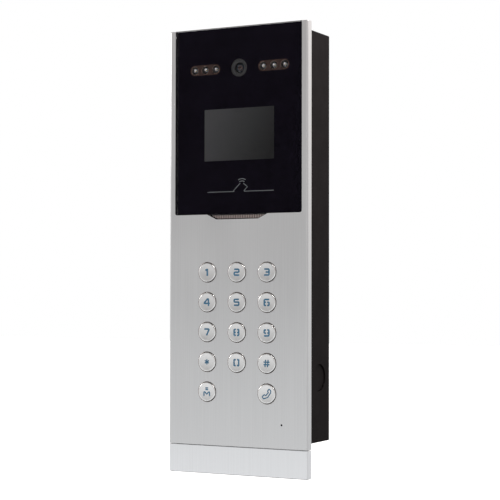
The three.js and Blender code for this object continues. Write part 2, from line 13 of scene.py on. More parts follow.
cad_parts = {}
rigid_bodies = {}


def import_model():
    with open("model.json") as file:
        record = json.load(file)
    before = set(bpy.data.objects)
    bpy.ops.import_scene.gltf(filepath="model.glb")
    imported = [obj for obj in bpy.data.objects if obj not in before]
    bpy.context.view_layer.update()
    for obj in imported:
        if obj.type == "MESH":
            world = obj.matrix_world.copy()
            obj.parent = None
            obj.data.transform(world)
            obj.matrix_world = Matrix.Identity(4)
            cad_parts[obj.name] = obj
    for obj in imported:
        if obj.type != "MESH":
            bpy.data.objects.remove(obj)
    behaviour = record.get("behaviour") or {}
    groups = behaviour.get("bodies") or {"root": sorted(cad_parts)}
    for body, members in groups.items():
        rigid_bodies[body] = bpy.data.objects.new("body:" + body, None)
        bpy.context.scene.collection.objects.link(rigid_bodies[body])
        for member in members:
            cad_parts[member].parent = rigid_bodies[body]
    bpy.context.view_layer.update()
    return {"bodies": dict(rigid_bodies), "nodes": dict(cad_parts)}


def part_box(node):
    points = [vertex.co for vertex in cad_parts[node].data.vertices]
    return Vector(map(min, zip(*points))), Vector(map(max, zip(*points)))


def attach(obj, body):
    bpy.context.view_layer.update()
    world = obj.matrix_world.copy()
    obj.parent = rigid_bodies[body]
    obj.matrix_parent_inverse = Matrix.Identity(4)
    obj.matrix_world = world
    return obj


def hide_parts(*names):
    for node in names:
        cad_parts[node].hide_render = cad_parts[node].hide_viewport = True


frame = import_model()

MM = 0.001
STATION = "station"
COVER = "bottom_cover"
PAST = 1 * MM           # how far a cutter runs past the face it cuts
GAP = 0.3 * MM          # clearance between pieces that touch

# ---------------------------------------------------------------- places from the frame

glass_lo, glass_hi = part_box("window_glass")
panel_lo, panel_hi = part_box("front_panel")
cover_lo, cover_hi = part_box("bottom_cover")
box_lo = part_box("back_box")[0]
gasket_lo, gasket_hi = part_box("box_gasket")

FRONT = glass_lo.y
RIM_BACK = cover_hi.y
HALF_WIDTH = panel_hi.x
SEAM_GAP = 0.5 * MM
SEAM_EDGE = 0.2 * MM
FACE_BOTTOM = cover_hi.z + SEAM_GAP
FACE_BACK = FRONT + 3 * MM
RECESS_BACK = FRONT + 4 * MM
POCKET_HALF = 52 * MM
EDGE_RADIUS = 2 * MM
TOP_EDGE = 0.5 * MM
LOWER_EDGE = 1.1 * MM
MIC_PORT_RADIUS = 0.9 * MM


def centre_of(node):
    low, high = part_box(node)
    return (low + high) / 2


LENS = centre_of("camera_lens")
SCREEN = centre_of("lcd_module")
MIC = centre_of("microphone")
KEY_NAMES = [body for body in frame["bodies"] if body.startswith("key_")]
LAMP_NODES = sorted(name for name in frame["nodes"] if name.startswith("infrared_lamp_"))
HOUSING_SCREWS = sorted(name for name in frame["nodes"] if name.startswith("housing_screw_"))
LOCK_SCREWS = ["lock_screw_left", "lock_screw_right"]


# ---------------------------------------------------------------- camera, floor and light

CAMERA_PLACE = (0.6272, -1.2213, -0.049)
CAMERA_YAW = math.radians(27.87)
CAMERA_PITCH = math.radians(1.6)
CAMERA_ROLL = math.radians(0.1)
SENSOR_WIDTH = 36
FOCAL_LENGTH = 106.85

FRONT_LIGHT_LOW = 1.01
FRONT_LIGHT_HIGH = 0.455
UPPER_GLOW = 1.65
LOW_TINT = (0.975, 0.990, 1.0)
HIGH_TINT = (1.0, 0.945, 0.915)
CEILING_LEVEL = 0.06
NADIR_LEVEL = 0.08
BACK_LIGHT_LOW = 0.66
BACK_LIGHT_HIGH = 1.05
RIGHT_LEVEL = 0.80
DARK_SCREEN_AT = (-0.466, -0.878, 0.113)
DARK_SCREEN_LEVEL = 0.04
# Where each change in the studio's light starts and ends: heights, or other parts, of a unit direction.
FRONT_SPAN = (-0.30, 0.20)
GLOW_SPAN = (0.10, 0.32)
CEILING_SPAN = (0.34, 0.66)
RIGHT_SPAN = (0.25, 0.60)
BACK_SPAN = (-0.15, 0.30)
FRONT_TO_BACK = (-0.2, 0.4)
NADIR_SPAN = (-0.85, -0.55)
TINT_SPAN = (-0.10, 0.20)
DARK_SCREEN_EDGE = (0.985, 0.995)
FLOOR_REACH = 8.0
FLOOR_DROP = 0.2


def camera_basis(yaw, pitch, roll):
    """The camera's right, up and back directions for a turn to the left, a tilt up and a roll."""
    forward = Vector((-math.sin(yaw) * math.cos(pitch), math.cos(yaw) * math.cos(pitch), math.sin(pitch)))
    level = Vector((math.cos(yaw), math.sin(yaw), 0))
    upright = level.cross(forward)
    right = level * math.cos(roll) + upright * math.sin(roll)
    up = upright * math.cos(roll) - level * math.sin(roll)
    return right, up, -forward


def make_camera():
    data = bpy.data.cameras.new("camera")
    data.sensor_width = SENSOR_WIDTH
    data.lens = FOCAL_LENGTH
    data.clip_end = 50
    camera = bpy.data.objects.new("camera", data)
    right, up, back = camera_basis(CAMERA_YAW, CAMERA_PITCH, CAMERA_ROLL)
    turn = Matrix((right, up, back)).transposed().to_4x4()
    camera.matrix_world = Matrix.Translation(CAMERA_PLACE) @ turn
    bpy.context.scene.collection.objects.link(camera)
    bpy.context.scene.camera = camera


def area_light(name, place, target, size, size_y, power, colour=(1, 1, 1)):
    data = bpy.data.lights.new(name, "AREA")
    data.shape = "RECTANGLE"
    data.size = size
    data.size_y = size_y
    data.energy = power
    data.color = colour
    light = bpy.data.objects.new(name, data)
    direction = Vector(target) - Vector(place)
    light.rotation_euler = direction.to_track_quat("-Z", "Y").to_euler()
    light.location = place
    bpy.context.scene.collection.objects.link(light)


def feed(tree, socket, value):
    """Links a node's output into a socket, or sets the socket's own constant."""
    if isinstance(value, bpy.types.NodeSocket):
        tree.links.new(value, socket)
    else:
        socket.default_value = value


def add_node(tree, kind, sockets=None, **settings):
    """A shader node with its own settings, and its input sockets fed by name or number."""
    made = tree.nodes.new("ShaderNode" + kind)
    for name, value in settings.items():
        setattr(made, name, value)
    for socket, value in (sockets or {}).items():
        feed(tree, made.inputs[socket], value)
    return made


def product(tree, first, second):
    return add_node(tree, "Math", {0: first, 1: second}, operation="MULTIPLY").outputs["Value"]


def colour_mix(tree, factor, low, high):
    """A colour that goes from low to high with the factor."""
    mix = add_node(tree, "Mix", {"A": (*low, 1), "B": (*high, 1), "Factor": factor}, data_type="RGBA")
    return mix.outputs["Result"]


def ramp_between(tree, value, from_min, from_max, to_min, to_max):
    limits = {"From Min": from_min, "From Max": from_max, "To Min": to_min, "To Max": to_max}
    ramp = add_node(tree, "MapRange", {"Value": value, **limits}, interpolation_type="SMOOTHSTEP")
    return ramp.outputs["Result"]


def room_level(tree, direction):
    """How bright the studio is in each direction.

    In front, the light is strongest low down, glows again above the horizon and fades to a dark
    ceiling. Behind, it grows upwards. Straight down it is dark, and one dark screen stands where
    the glass mirrors the room towards the camera.
    """
    split = add_node(tree, "SeparateXYZ", {"Vector": direction})
    height = split.outputs["Z"]
    in_front = ramp_between(tree, height, *FRONT_SPAN, FRONT_LIGHT_LOW, FRONT_LIGHT_HIGH)
    for value, span, factor in (
        (height, GLOW_SPAN, UPPER_GLOW),
        (height, CEILING_SPAN, CEILING_LEVEL),
        (split.outputs["X"], RIGHT_SPAN, RIGHT_LEVEL),
    ):
        in_front = product(tree, in_front, ramp_between(tree, value, *span, 1.0, factor))
    behind = ramp_between(tree, height, *BACK_SPAN, BACK_LIGHT_LOW, BACK_LIGHT_HIGH)
    level = ramp_between(tree, split.outputs["Y"], *FRONT_TO_BACK, in_front, behind)
    toward = add_node(tree, "VectorMath", {0: direction, 1: DARK_SCREEN_AT}, operation="DOT_PRODUCT")
    darken = ramp_between(tree, toward.outputs["Value"], *DARK_SCREEN_EDGE, 1.0, DARK_SCREEN_LEVEL)
    level = product(tree, level, darken)
    return product(tree, level, ramp_between(tree, height, *NADIR_SPAN, NADIR_LEVEL, 1.0))


def make_world():
    """A pale studio around the object, and plain white behind it where the camera sees past it."""
    world = bpy.data.worlds.new("studio")
    bpy.context.scene.world = world
    world.use_nodes = True
    tree = world.node_tree
    tree.nodes.clear()
    direction = add_node(tree, "TexCoord").outputs["Generated"]
    height = add_node(tree, "SeparateXYZ", {"Vector": direction}).outputs["Z"]
    tint = colour_mix(tree, ramp_between(tree, height, *TINT_SPAN, 0.0, 1.0), LOW_TINT, HIGH_TINT)
    room = add_node(tree, "Background", {"Color": tint, "Strength": room_level(tree, direction)})
    seen = add_node(tree, "Background", {"Color": (1, 1, 1, 1)})
    to_camera = add_node(tree, "LightPath").outputs["Is Camera Ray"]
    shaders = {0: to_camera, 1: room.outputs["Background"], 2: seen.outputs["Background"]}
    mix = add_node(tree, "MixShader", shaders)
    add_node(tree, "OutputWorld", {"Surface": mix.outputs["Shader"]})


def make_floor():
    """A white floor well under the station. It shows to the camera only and takes no part in the light."""
    mesh = bpy.data.meshes.new("floor")
    reach, level = FLOOR_REACH, box_lo.z - FLOOR_DROP
    signs = [(-1, -1), (1, -1), (1, 1), (-1, 1)]
    corners = [(x * reach, y * reach, level) for x, y in signs]
    mesh.from_pydata(corners, [], [(0, 1, 2, 3)])
    floor = bpy.data.objects.new("floor", mesh)
    bpy.context.scene.collection.objects.link(floor)
    material = bpy.data.materials.new("floor_white")
    material.use_nodes = True
    shader = material.node_tree.nodes["Principled BSDF"]
    shader.inputs["Base Color"].default_value = (1, 1, 1, 1)
    shader.inputs["Emission Color"].default_value = (1, 1, 1, 1)
    shader.inputs["Emission Strength"].default_value = 1.0
    mesh.materials.append(material)
    floor.visible_glossy = False
    floor.visible_diffuse = False
    floor.visible_shadow = False


bpy.context.scene.view_settings.view_transform = "Standard"
make_camera()
make_world()
make_floor()
area_light("left_softbox", (-2.2, -0.65, 0.64), (0, -0.06, 0), 0.35, 0.6, 9)
area_light("high_right_softbox", (0.38, -0.04, 0.52), (0.06, -0.03, 0.12), 0.16, 0.30, 4.2, (1, 0.95, 0.93))


# ---------------------------------------------------------------- material helpers

class Paint:
    """A node material being built: one Principled shader with procedural detail on it."""

    def __init__(self, name, colour, roughness, metallic=0.0, specular=0.5, ior=1.45):
        self.material = bpy.data.materials.new(name)
        self.material.use_nodes = True
        self.tree = self.material.node_tree
        self.shader = self.tree.nodes["Principled BSDF"]
        self.colour = colour
        self.roughness = roughness
        self.normal = None
        self.coords = self.node("TexCoord").outputs["Object"]
        self.set("Base Color", (*colour, 1))
        self.set("Roughness", roughness)
        self.set("Metallic", metallic)
        self.set("Specular IOR Level", specular)
        self.set("IOR", ior)

    def node(self, kind, sockets=None, **settings):
        return add_node(self.tree, kind, sockets, **settings)

    def set(self, socket, value):
        """Links an output into one of the shader's sockets, or sets the socket's own constant."""
        feed(self.tree, self.shader.inputs[socket], value)

    def noise(self, scale, stretch=(1, 1, 1), detail=3.0):
        """Noise with features of about 1 / scale metres, made longer along an axis with a small stretch."""
        vector = self.node("Mapping", {"Vector": self.coords, "Scale": stretch}).outputs["Vector"]
        return self.node("TexNoise", {"Vector": vector, "Scale": scale, "Detail": detail}).outputs["Fac"]

    def spread(self, value, low, high):
        """A noise value moved to a range."""
        sockets = {"Value": value, "From Min": 0.3, "From Max": 0.7, "To Min": low, "To Max": high}
        return self.node("MapRange", sockets).outputs["Result"]

    def vary_roughness(self, value, amount):
        self.set("Roughness", self.spread(value, self.roughness - amount, self.roughness + amount))

    def vary_colour(self, value, darker, lighter):
        """Mixes between two strengths of the base colour."""
        low = [part * darker for part in self.colour]
        high = [min(1.0, part * lighter) for part in self.colour]
        self.set("Base Color", colour_mix(self.tree, self.spread(value, 0.0, 1.0), low, high))

    def bump(self, value, strength, distance):
        sockets = {"Height": value, "Strength": strength, "Distance": distance}
        if self.normal is not None:
            sockets["Normal"] = self.normal
        self.normal = self.node("Bump", sockets).outputs["Normal"]
        self.set("Normal", self.normal)


def brushed_metal(name, colour, roughness):
    """Metal with a fine upright grain: long thin streaks in colour, roughness and height."""
    paint = Paint(name, colour, roughness, metallic=1.0)
    streaks = (1, 1, 0.012)
    fine = paint.noise(2600, streaks, 2.0)
    broad = paint.noise(900, streaks, 4.0)
    cloud = paint.noise(14, (1, 1, 0.6), 2.0)
    paint.vary_colour(broad, 0.968, 1.022)
    paint.vary_roughness(cloud, 0.025)
    paint.bump(fine, 0.10, 0.02 * MM)
    paint.bump(broad, 0.05, 0.02 * MM)
    paint.set("Anisotropic", 0.45)
    paint.set("Tangent", paint.node("CombineXYZ", {"X": 1, "Y": 0, "Z": 0}).outputs["Vector"])
    return paint.material


def plain_metal(name, colour, roughness):
    """Turned or plated metal with faint marks."""
    paint = Paint(name, colour, roughness, metallic=1.0)
    marks = paint.noise(900, (1, 1, 1), 3.0)
    paint.vary_roughness(marks, 0.05)
    paint.vary_colour(paint.noise(160), 0.94, 1.05)
    paint.bump(marks, 0.05, 0.02 * MM)
    return paint.material


def satin_plate(name, colour, roughness):
    """Plated plastic: almost even, with a slow change in gloss and faint handling marks."""
    paint = Paint(name, colour, roughness, metallic=1.0)
    paint.vary_colour(paint.noise(120), 0.985, 1.01)
    paint.vary_roughness(paint.noise(260), 0.02)
    paint.bump(paint.noise(1200), 0.04, 0.004 * MM)
    return paint.material


def moulded_plastic(name, colour, roughness, grain=1500, depth=0.02, specular=0.5, ior=1.45):
    """Moulded plastic, rubber or paint: a fine even grain and a slow change in gloss."""
    paint = Paint(name, colour, roughness, specular=specular, ior=ior)
    fine = paint.noise(grain, (1, 1, 1), 2.0)
    slow = paint.noise(60)
    paint.vary_colour(slow, 0.88, 1.12)
    paint.vary_roughness(paint.noise(240), 0.05)
    paint.bump(fine, 0.25, depth * MM)
    return paint.material


def circuit_board(name, colour):
    """Solder mask over copper: lighter tracks in a brick pattern under a smooth coat."""
    paint = Paint(name, colour, 0.35)
    turned = paint.node("Mapping", {"Vector": paint.coords, "Rotation": (math.radians(90), 0, 0)})
    sockets = {"Vector": turned.outputs["Vector"], "Scale": 120, "Mortar Size": 0.03}
    for socket, level in (("Color1", 0.8), ("Color2", 1.1), ("Mortar", 1.9)):
        sockets[socket] = (*[part * level for part in colour], 1)
    tracks = paint.node("TexBrick", sockets)
    paint.set("Base Color", tracks.outputs["Color"])
    paint.vary_roughness(paint.noise(300), 0.06)
    paint.bump(tracks.outputs["Fac"], 0.2, 0.03 * MM)
    return paint.material


def see_through(name, ior, tint, roughness=0.02):
    """Clear glass or resin: it shows what is behind it and mirrors the room by its refractive index."""
    material = bpy.data.materials.new(name)
    material.use_nodes = True
    tree = material.node_tree
    tree.nodes.clear()
    coords = add_node(tree, "TexCoord").outputs["Object"]
    smears = add_node(tree, "TexNoise", {"Vector": coords, "Scale": 45}).outputs["Fac"]
    limits = {"To Min": roughness * 0.5, "To Max": roughness * 1.5}
    shift = add_node(tree, "MapRange", {"Value": smears, **limits})
    gloss = add_node(tree, "BsdfGlossy", {"Roughness": roughness})
    feed(tree, gloss.inputs["Roughness"], shift.outputs["Result"])
    clear = add_node(tree, "BsdfTransparent", {"Color": (*tint, 1)})
    fresnel = add_node(tree, "Fresnel", {"IOR": ior})
    shaders = {0: fresnel.outputs["Fac"], 1: clear.outputs["BSDF"], 2: gloss.outputs["BSDF"]}
    mix = add_node(tree, "MixShader", shaders)
    add_node(tree, "OutputMaterial", {"Surface": mix.outputs["Shader"]})
    return material


def painted_sheen_screen_material():
    """A dark polariser with a painted sheen: its colour grows lighter towards its left side and, less so,
    towards its top, in place of the room's soft reflection.
    """
    paint = Paint("screen_polariser_painted_sheen", (0.030, 0.030, 0.031), 0.4, specular=0.1)
    to_centre = (-SCREEN.x, -SCREEN.y, -SCREEN.z)
    from_centre = paint.node("Mapping", {"Vector": paint.coords, "Location": to_centre})
    split = paint.node("SeparateXYZ", {"Vector": from_centre.outputs["Vector"]})
    # Painted sheen: a colour ramp, lighter to the left and up, stands in for reflected light.
    slope = {0: split.outputs["X"], 1: -2.2, 2: split.outputs["Z"]}
    painted_sheen_ramp = paint.node("Math", slope, operation="MULTIPLY_ADD").outputs["Value"]
    shift = paint.node("MapRange", {"Value": painted_sheen_ramp, "From Min": -0.085, "From Max": 0.100})
    dark, light = (0.036, 0.036, 0.037), (0.138, 0.138, 0.145)
    paint.set("Base Color", colour_mix(paint.tree, shift.outputs["Result"], dark, light))
    paint.bump(paint.noise(2500), 0.03, 0.01 * MM)
    return paint.material


ALUMINIUM = brushed_metal("brushed_aluminium", (0.75, 0.752, 0.757), 0.36)
# The cover's aluminium is the panel's, painted lighter for the extra light the low strip catches.
COVER_METAL_PAINTED_LIGHT = brushed_metal("brushed_cover_painted_light", (0.92, 0.927, 0.942), 0.36)
MACHINED = plain_metal("machined_edge", (0.80, 0.80, 0.80), 0.22)
SATIN = satin_plate("satin_silver", (0.93, 0.925, 0.92), 0.30)
ZINC = plain_metal("zinc_plate", (0.55, 0.56, 0.57), 0.28)
COPPER_RIM = plain_metal("copper_rim", (0.42, 0.29, 0.24), 0.3)
SILVER_CUP = plain_metal("silver_cup", (0.85, 0.85, 0.86), 0.18)
MESH_METAL = plain_metal("mesh_metal", (0.54, 0.47, 0.45), 0.4)
# Dark brown metal for the key holes' walls: painted shade, so the gap round each cap reads dark.
KEY_HOLE_PAINTED_SHADE = plain_metal("punched_edge", (0.34, 0.27, 0.24), 0.45)
LEGEND = moulded_plastic("legend_blue", (0.080, 0.215, 0.350), 0.45, specular=0.3)
PRINT = moulded_plastic("black_print", (0.0102, 0.0079, 0.0152), 0.6, specular=0.03)
MARK = moulded_plastic("grey_print", (0.26, 0.28, 0.29), 0.5)
BOX_PAINT = moulded_plastic(
    "black_powder_coat", (0.0120, 0.0103, 0.0106), 0.5, 900, 0.04, specular=0.03, ior=1.3,
)
HOUSING_PLASTIC = moulded_plastic("black_moulding", (0.018, 0.018, 0.019), 0.55)
BARREL_PLASTIC = moulded_plastic("barrel_grey", (0.074, 0.074, 0.078), 0.42)
HOLDER_PLASTIC = moulded_plastic("brown_moulding", (0.074, 0.035, 0.027), 0.5)
BODY_GREY = moulded_plastic("lamp_body_grey", (0.34, 0.35, 0.37), 0.3)
CUP_GREY = moulded_plastic("cup_grey", (0.16, 0.145, 0.14), 0.3)
CUP_DARK = moulded_plastic("dark_cup", (0.012, 0.010, 0.010), 0.25)
RUBBER = moulded_plastic("black_rubber", (0.014, 0.014, 0.014), 0.8, 900, 0.05)
FOAM = moulded_plastic("foam_tape", (0.03, 0.03, 0.03), 0.95, 500, 0.1)
SILICONE = moulded_plastic("silicone", (0.26, 0.26, 0.25), 0.7)
GREEN_BLOCK = moulded_plastic("green_moulding", (0.04, 0.24, 0.09), 0.5)
CREAM = moulded_plastic("cream_moulding", (0.55, 0.52, 0.42), 0.5)
YELLOW_DIE = moulded_plastic("yellow_die", (0.80, 0.62, 0.16), 0.4)
BOARD = circuit_board("green_board", (0.018, 0.085, 0.040))
BROWN_BOARD = circuit_board("brown_board", (0.060, 0.030, 0.020))
PANE = see_through("clear_pane", 1.28, (0.98, 0.98, 0.98))
RESIN = see_through("clear_resin", 1.5, (0.93, 0.93, 0.95), 0.05)
POLARISER_PAINTED_SHEEN = painted_sheen_screen_material()


def coated_lens(name, colour, film):
    """A dark lens surface with a coloured coating; its tinted base colour is a painted reflection of the
    coating, under the coat's own real reflection.
    """
    paint = Paint(name, colour, 0.12, specular=0.35)
    paint.set("Coat Weight", 0.25)
    paint.set("Coat Tint", (*film, 1))
    paint.vary_colour(paint.noise(500), 0.8, 1.25)
    return paint.material


# The tinted base colours below are painted reflections of the lens coatings: a reddish centre, a blue arc
# and a red arc.
LENS_PUPIL_PAINTED_REFLECTION = coated_lens("lens_front", (0.080, 0.038, 0.032), (0.8, 0.7, 0.8))
LENS_BLUE_PAINTED_REFLECTION = coated_lens("lens_blue_painted_reflection", (0.040, 0.078, 0.115), (0.5, 0.6, 1.0))
LENS_RED_PAINTED_REFLECTION = coated_lens("lens_red_painted_reflection", (0.085, 0.055, 0.055), (1.0, 0.6, 0.5))


# ---------------------------------------------------------------- mesh helpers

def object_from(name, mesh, *materials):
    made = bpy.data.objects.new(name, mesh)
    bpy.context.scene.collection.objects.link(made)
    for material in materials:
        mesh.materials.append(material)
    return made


def mesh_from_bmesh(name, bm):
    bmesh.ops.recalc_face_normals(bm, faces=bm.faces)
    mesh = bpy.data.meshes.new(name)
    bm.to_mesh(mesh)
    bm.free()
    return mesh


def arc(cx, cy, radius, start, end, steps):
    """Points along an arc, angles in degrees."""
    angles = [math.radians(start + (end - start) * i / steps) for i in range(steps + 1)]
    return [(cx + radius * math.cos(a), cy + radius * math.sin(a)) for a in angles]


def rounded_rectangle(x0, x1, z0, z1, radius, steps=8):
    return (
        arc(x1 - radius, z1 - radius, radius, 0, 90, steps)
        + arc(x0 + radius, z1 - radius, radius, 90, 180, steps)
        + arc(x0 + radius, z0 + radius, radius, 180, 270, steps)
        + arc(x1 - radius, z0 + radius, radius, 270, 360, steps)
    )


def circle(cx, cz, radius, steps=64):
    return arc(cx, cz, radius, 0, 360 * (steps - 1) / steps, steps - 1)


def prism(name, outline, low, high, axis, *materials):
    """A closed prism: an outline in the two other axes, drawn along Y or Z."""
    bm = bmesh.new()

    def corner(a, b, level):
        return (a, level, b) if axis == "Y" else (a, b, level)

    bottom = [bm.verts.new(corner(a, b, low)) for a, b in outline]
    top = [bm.verts.new(corner(a, b, high)) for a, b in outline]
    bm.faces.new(bottom)
    bm.faces.new(reversed(top))
    count = len(outline)
    for i in range(count):
        j = (i + 1) % count
        bm.faces.new((bottom[i], top[i], top[j], bottom[j]))
    return object_from(name, mesh_from_bmesh(name, bm), *materials)


def rectangle(x0, x1, z0, z1):
    return [(x0, z0), (x1, z0), (x1, z1), (x0, z1)]


def slab(name, x0, x1, y0, y1, z0, z1, *materials):
    return prism(name, rectangle(x0, x1, z0, z1), y0, y1, "Y", *materials)


def inset_outline(node, side, end, radius, steps=4):
    """A rounded rectangle inside a CAD node's box, moved in by side in X and by end in Z."""
    low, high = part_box(node)
    return rounded_rectangle(low.x + side, high.x - side, low.z + end, high.z - end, radius, steps)


def from_face(y, *points):
    """Points in metres from (radius, depth) pairs in millimetres, with the depth going back from y."""
    return [(radius * MM, y + depth * MM) for radius, depth in points]


def dome(radius, y, height):
    """A quarter of an ellipse, from the axis at y back to the full radius."""
    turn = [math.radians(angle) for angle in range(0, 91, 9)]
    return [(radius * math.sin(a), y + height * (1 - math.cos(a))) for a in turn]


def skin(name, rows, *materials):
    """A closed solid through rows of four corners, with the first and the last row as its ends."""
    bm = bmesh.new()
    rings = [[bm.verts.new(corner) for corner in row] for row in rows]
    for first, second in zip(rings, rings[1:]):
        for i in range(4):
            j = (i + 1) % 4
            bm.faces.new((first[i], first[j], second[j], second[i]))
    bm.faces.new(rings[0])
    bm.faces.new(rings[-1])
    return object_from(name, mesh_from_bmesh(name, bm), *materials)


def lathe(name, profile, cx, cz, steps, *materials):
    """A turned piece about an axis along Y, from (radius, y) points. A closed ring repeats no point."""
    bm = bmesh.new()
    rings = []
    for radius, y in profile:
        if radius == 0:
            rings.append([bm.verts.new((cx, y, cz))])
            continue
        turn = [2 * math.pi * i / steps for i in range(steps)]
        rings.append([bm.verts.new((cx + radius * math.cos(a), y, cz + radius * math.sin(a))) for a in turn])
    pairs = list(zip(rings, rings[1:]))
    if profile[0][0] != 0:
        pairs.append((rings[-1], rings[0]))
    for first, second in pairs:
        for i in range(steps):
            j = (i + 1) % steps
            loop = [(first, i), (first, j), (second, j), (second, i)]
            corners = list(dict.fromkeys(ring[k % len(ring)] for ring, k in loop))
            if len(corners) > 2:
                bm.faces.new(corners)
    return object_from(name, mesh_from_bmesh(name, bm), *materials)


def turned_x(name, profile, cy, cz, steps, *materials):
    """A turned piece about an axis along X, from (radius, x) points."""
    made = lathe(name, profile, 0, 0, steps, *materials)
    made.data.transform(Matrix.Rotation(math.radians(-90), 4, "Z"))
    made.data.transform(Matrix.Translation((0, cy, cz)))
    return made


def apply_modifiers(piece):
    bpy.context.view_layer.update()
    graph = bpy.context.evaluated_depsgraph_get()
    shape = piece.evaluated_get(graph)
    mesh = bpy.data.meshes.new_from_object(shape, preserve_all_data_layers=True, depsgraph=graph)
    piece.modifiers.clear()
    old = piece.data
    piece.data = mesh
    mesh.name = old.name
    bpy.data.meshes.remove(old)


def round_end(piece, level, width, segments=4):
    """Rounds the edges of the piece's flat end at a height."""
    bm = bmesh.new()
    bm.from_mesh(piece.data)
    rim = [edge for edge in bm.edges if all(abs(vertex.co.z - level) < 1e-6 for vertex in edge.verts)]
    bmesh.ops.bevel(
        bm, geom=rim, offset=width, segments=segments, profile=0.5, affect="EDGES", clamp_overlap=True,
    )
    bm.to_mesh(piece.data)
    bm.free()
    return piece


def bevel(piece, width, segments=2, angle=35):
    modifier = piece.modifiers.new("bevel", "BEVEL")
    modifier.width = width
    modifier.segments = segments
    modifier.limit_method = "ANGLE"
    modifier.angle_limit = math.radians(angle)
    apply_modifiers(piece)
    return piece


def combine(piece, others, operation):
    """Cuts or joins each other solid and removes it. New faces take the other solid's material."""
    for other in others:
        modifier = piece.modifiers.new("combine", "BOOLEAN")
        modifier.operation = operation
        modifier.solver = "EXACT"
        modifier.material_mode = "TRANSFER"
        modifier.object = other
        apply_modifiers(piece)
        bpy.data.objects.remove(other)
    return piece


def cut(piece, *cutters):
    return combine(piece, cutters, "DIFFERENCE")


def add(piece, *others):
    return combine(piece, others, "UNION")


def punch(piece, outline, low, high, material):
    """Cuts an outline in X and Z out of the piece, from y low to y high."""
    return cut(piece, prism("cutter", outline, low, high, "Y", material))


def bore(piece, profile, x, z, steps, material):
    """Cuts a turned shape about an axis along Y out of the piece."""
    return cut(piece, lathe("cutter", profile, x, z, steps, material))


def gather(piece, *others):
    """Puts other meshes into the piece as they are, without joining surfaces."""
    bm = bmesh.new()
    bm.from_mesh(piece.data)
    for other in others:
        start = len(piece.data.materials)
        for material in other.data.materials:
            piece.data.materials.append(material)
        first = len(bm.faces)
        bm.from_mesh(other.data)
        bm.faces.ensure_lookup_table()
        for face in bm.faces[first:]:
            face.material_index += start
        bpy.data.objects.remove(other)
    bm.to_mesh(piece.data)
    bm.free()
    return piece


def smooth(piece, angle=32):
    """Smooth shading with sharp edges over an angle, and flat faces kept flat."""
    mesh = piece.data
    mesh.shade_smooth()
    mesh.set_sharp_from_angle(angle=math.radians(angle))
    modifier = piece.modifiers.new("normals", "WEIGHTED_NORMAL")
    modifier.keep_sharp = True
    modifier.weight = 100
    apply_modifiers(piece)
    return piece


def place(piece, body, slot, *nodes, angle=32):
    """Finishes a piece: shading, the body it rides on and the CAD nodes it stands for. The slot argument is
    not used.
    """
    smooth(piece, angle)
    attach(piece, body)
    if nodes:
        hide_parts(*nodes)
    return piece


# ---------------------------------------------------------------- front panel and bottom cover

def rim_section():
    """The front's cross-section in X and Y, with its two front edges rounded."""
    half, radius = HALF_WIDTH, EDGE_RADIUS
    return (
        [(half, RIM_BACK), (-half, RIM_BACK)]
        + arc(-half + radius, FRONT + radius, radius, 180, 270, 12)
        + arc(half - radius, FRONT + radius, radius, 270, 360, 12)
    )


def glass_outline(grow, top):
    """The glass's outline in X and Z: square above, small round corners below."""
    half, low, radius = glass_hi.x + grow, glass_lo.z - grow, 2 * MM
    return (
        [(half, top), (-half, top)]
        + arc(-half + radius, low + radius, radius, 180, 270, 8)
        + arc(half - radius, low + radius, radius, 270, 360, 8)
    )


SLOT_TOP_HALF = 30.5 * MM
SLOT_BOTTOM_HALF = 21.1 * MM
SLOT_TOP = glass_lo.z - 0.3 * MM
SLOT_BOTTOM = SLOT_TOP - 4.5 * MM


def slot_outline(grow):
    """The sound slot's trapezium, with every side moved out by grow."""
    slope = (SLOT_TOP_HALF - SLOT_BOTTOM_HALF) / (SLOT_TOP - SLOT_BOTTOM)
    slant = math.hypot(1, slope)
    low = SLOT_BOTTOM_HALF + grow * (slant - slope)
    high = SLOT_TOP_HALF + grow * (slant + slope)
    bottom, top = SLOT_BOTTOM - grow, SLOT_TOP + grow
    return [(-low, bottom), (low, bottom), (high, top), (-high, top)]


def key_hole():
    """The section of a key's hole, with a small chamfer at the front."""
    radius, edge = 9 * MM, 0.25 * MM
    return [
        (0, FRONT - PAST),
        (radius + edge + PAST, FRONT - PAST),
        (radius, FRONT + edge),
        (radius, FACE_BACK + PAST),
        (0, FACE_BACK + PAST),
    ]


def hook(side):
    """An upright behind the panel that slips up behind the back box's lip."""
    x0, x1 = side * 35 * MM - 7 * MM, side * 35 * MM + 7 * MM
    low, high = panel_hi.z - 15 * MM, panel_hi.z - 8 * MM
    back = panel_hi.y
    neck = slab("hook", x0, x1, RIM_BACK - 1 * MM, back, low, low + 3 * MM, MACHINED)
    return add(neck, slab("upright", x0, x1, back - 3 * MM, back, low, high, MACHINED))


def tongue():
    """The plate below the seam that the bottom cover slides on, with a rib on each side."""
    top = FACE_BOTTOM + 1 * MM
    front, back = FRONT + 3.1 * MM, RIM_BACK - GAP
    plate = slab("tongue", -62 * MM, 62 * MM, front, back, panel_lo.z, top, MACHINED)
    add(plate, slab("ribs", -64 * MM, 64 * MM, FRONT + 4 * MM, FRONT + 5.4 * MM, panel_lo.z, top, MACHINED))
    hole = from_face(front, (0, -1), (5.5, -1), (2.4, 2.1)) + from_face(back, (2.4, 1), (0, 1))
    for node in LOCK_SCREWS:
        centre = centre_of(node)
        bore(plate, hole, centre.x, centre.z, 48, MACHINED)
    return plate


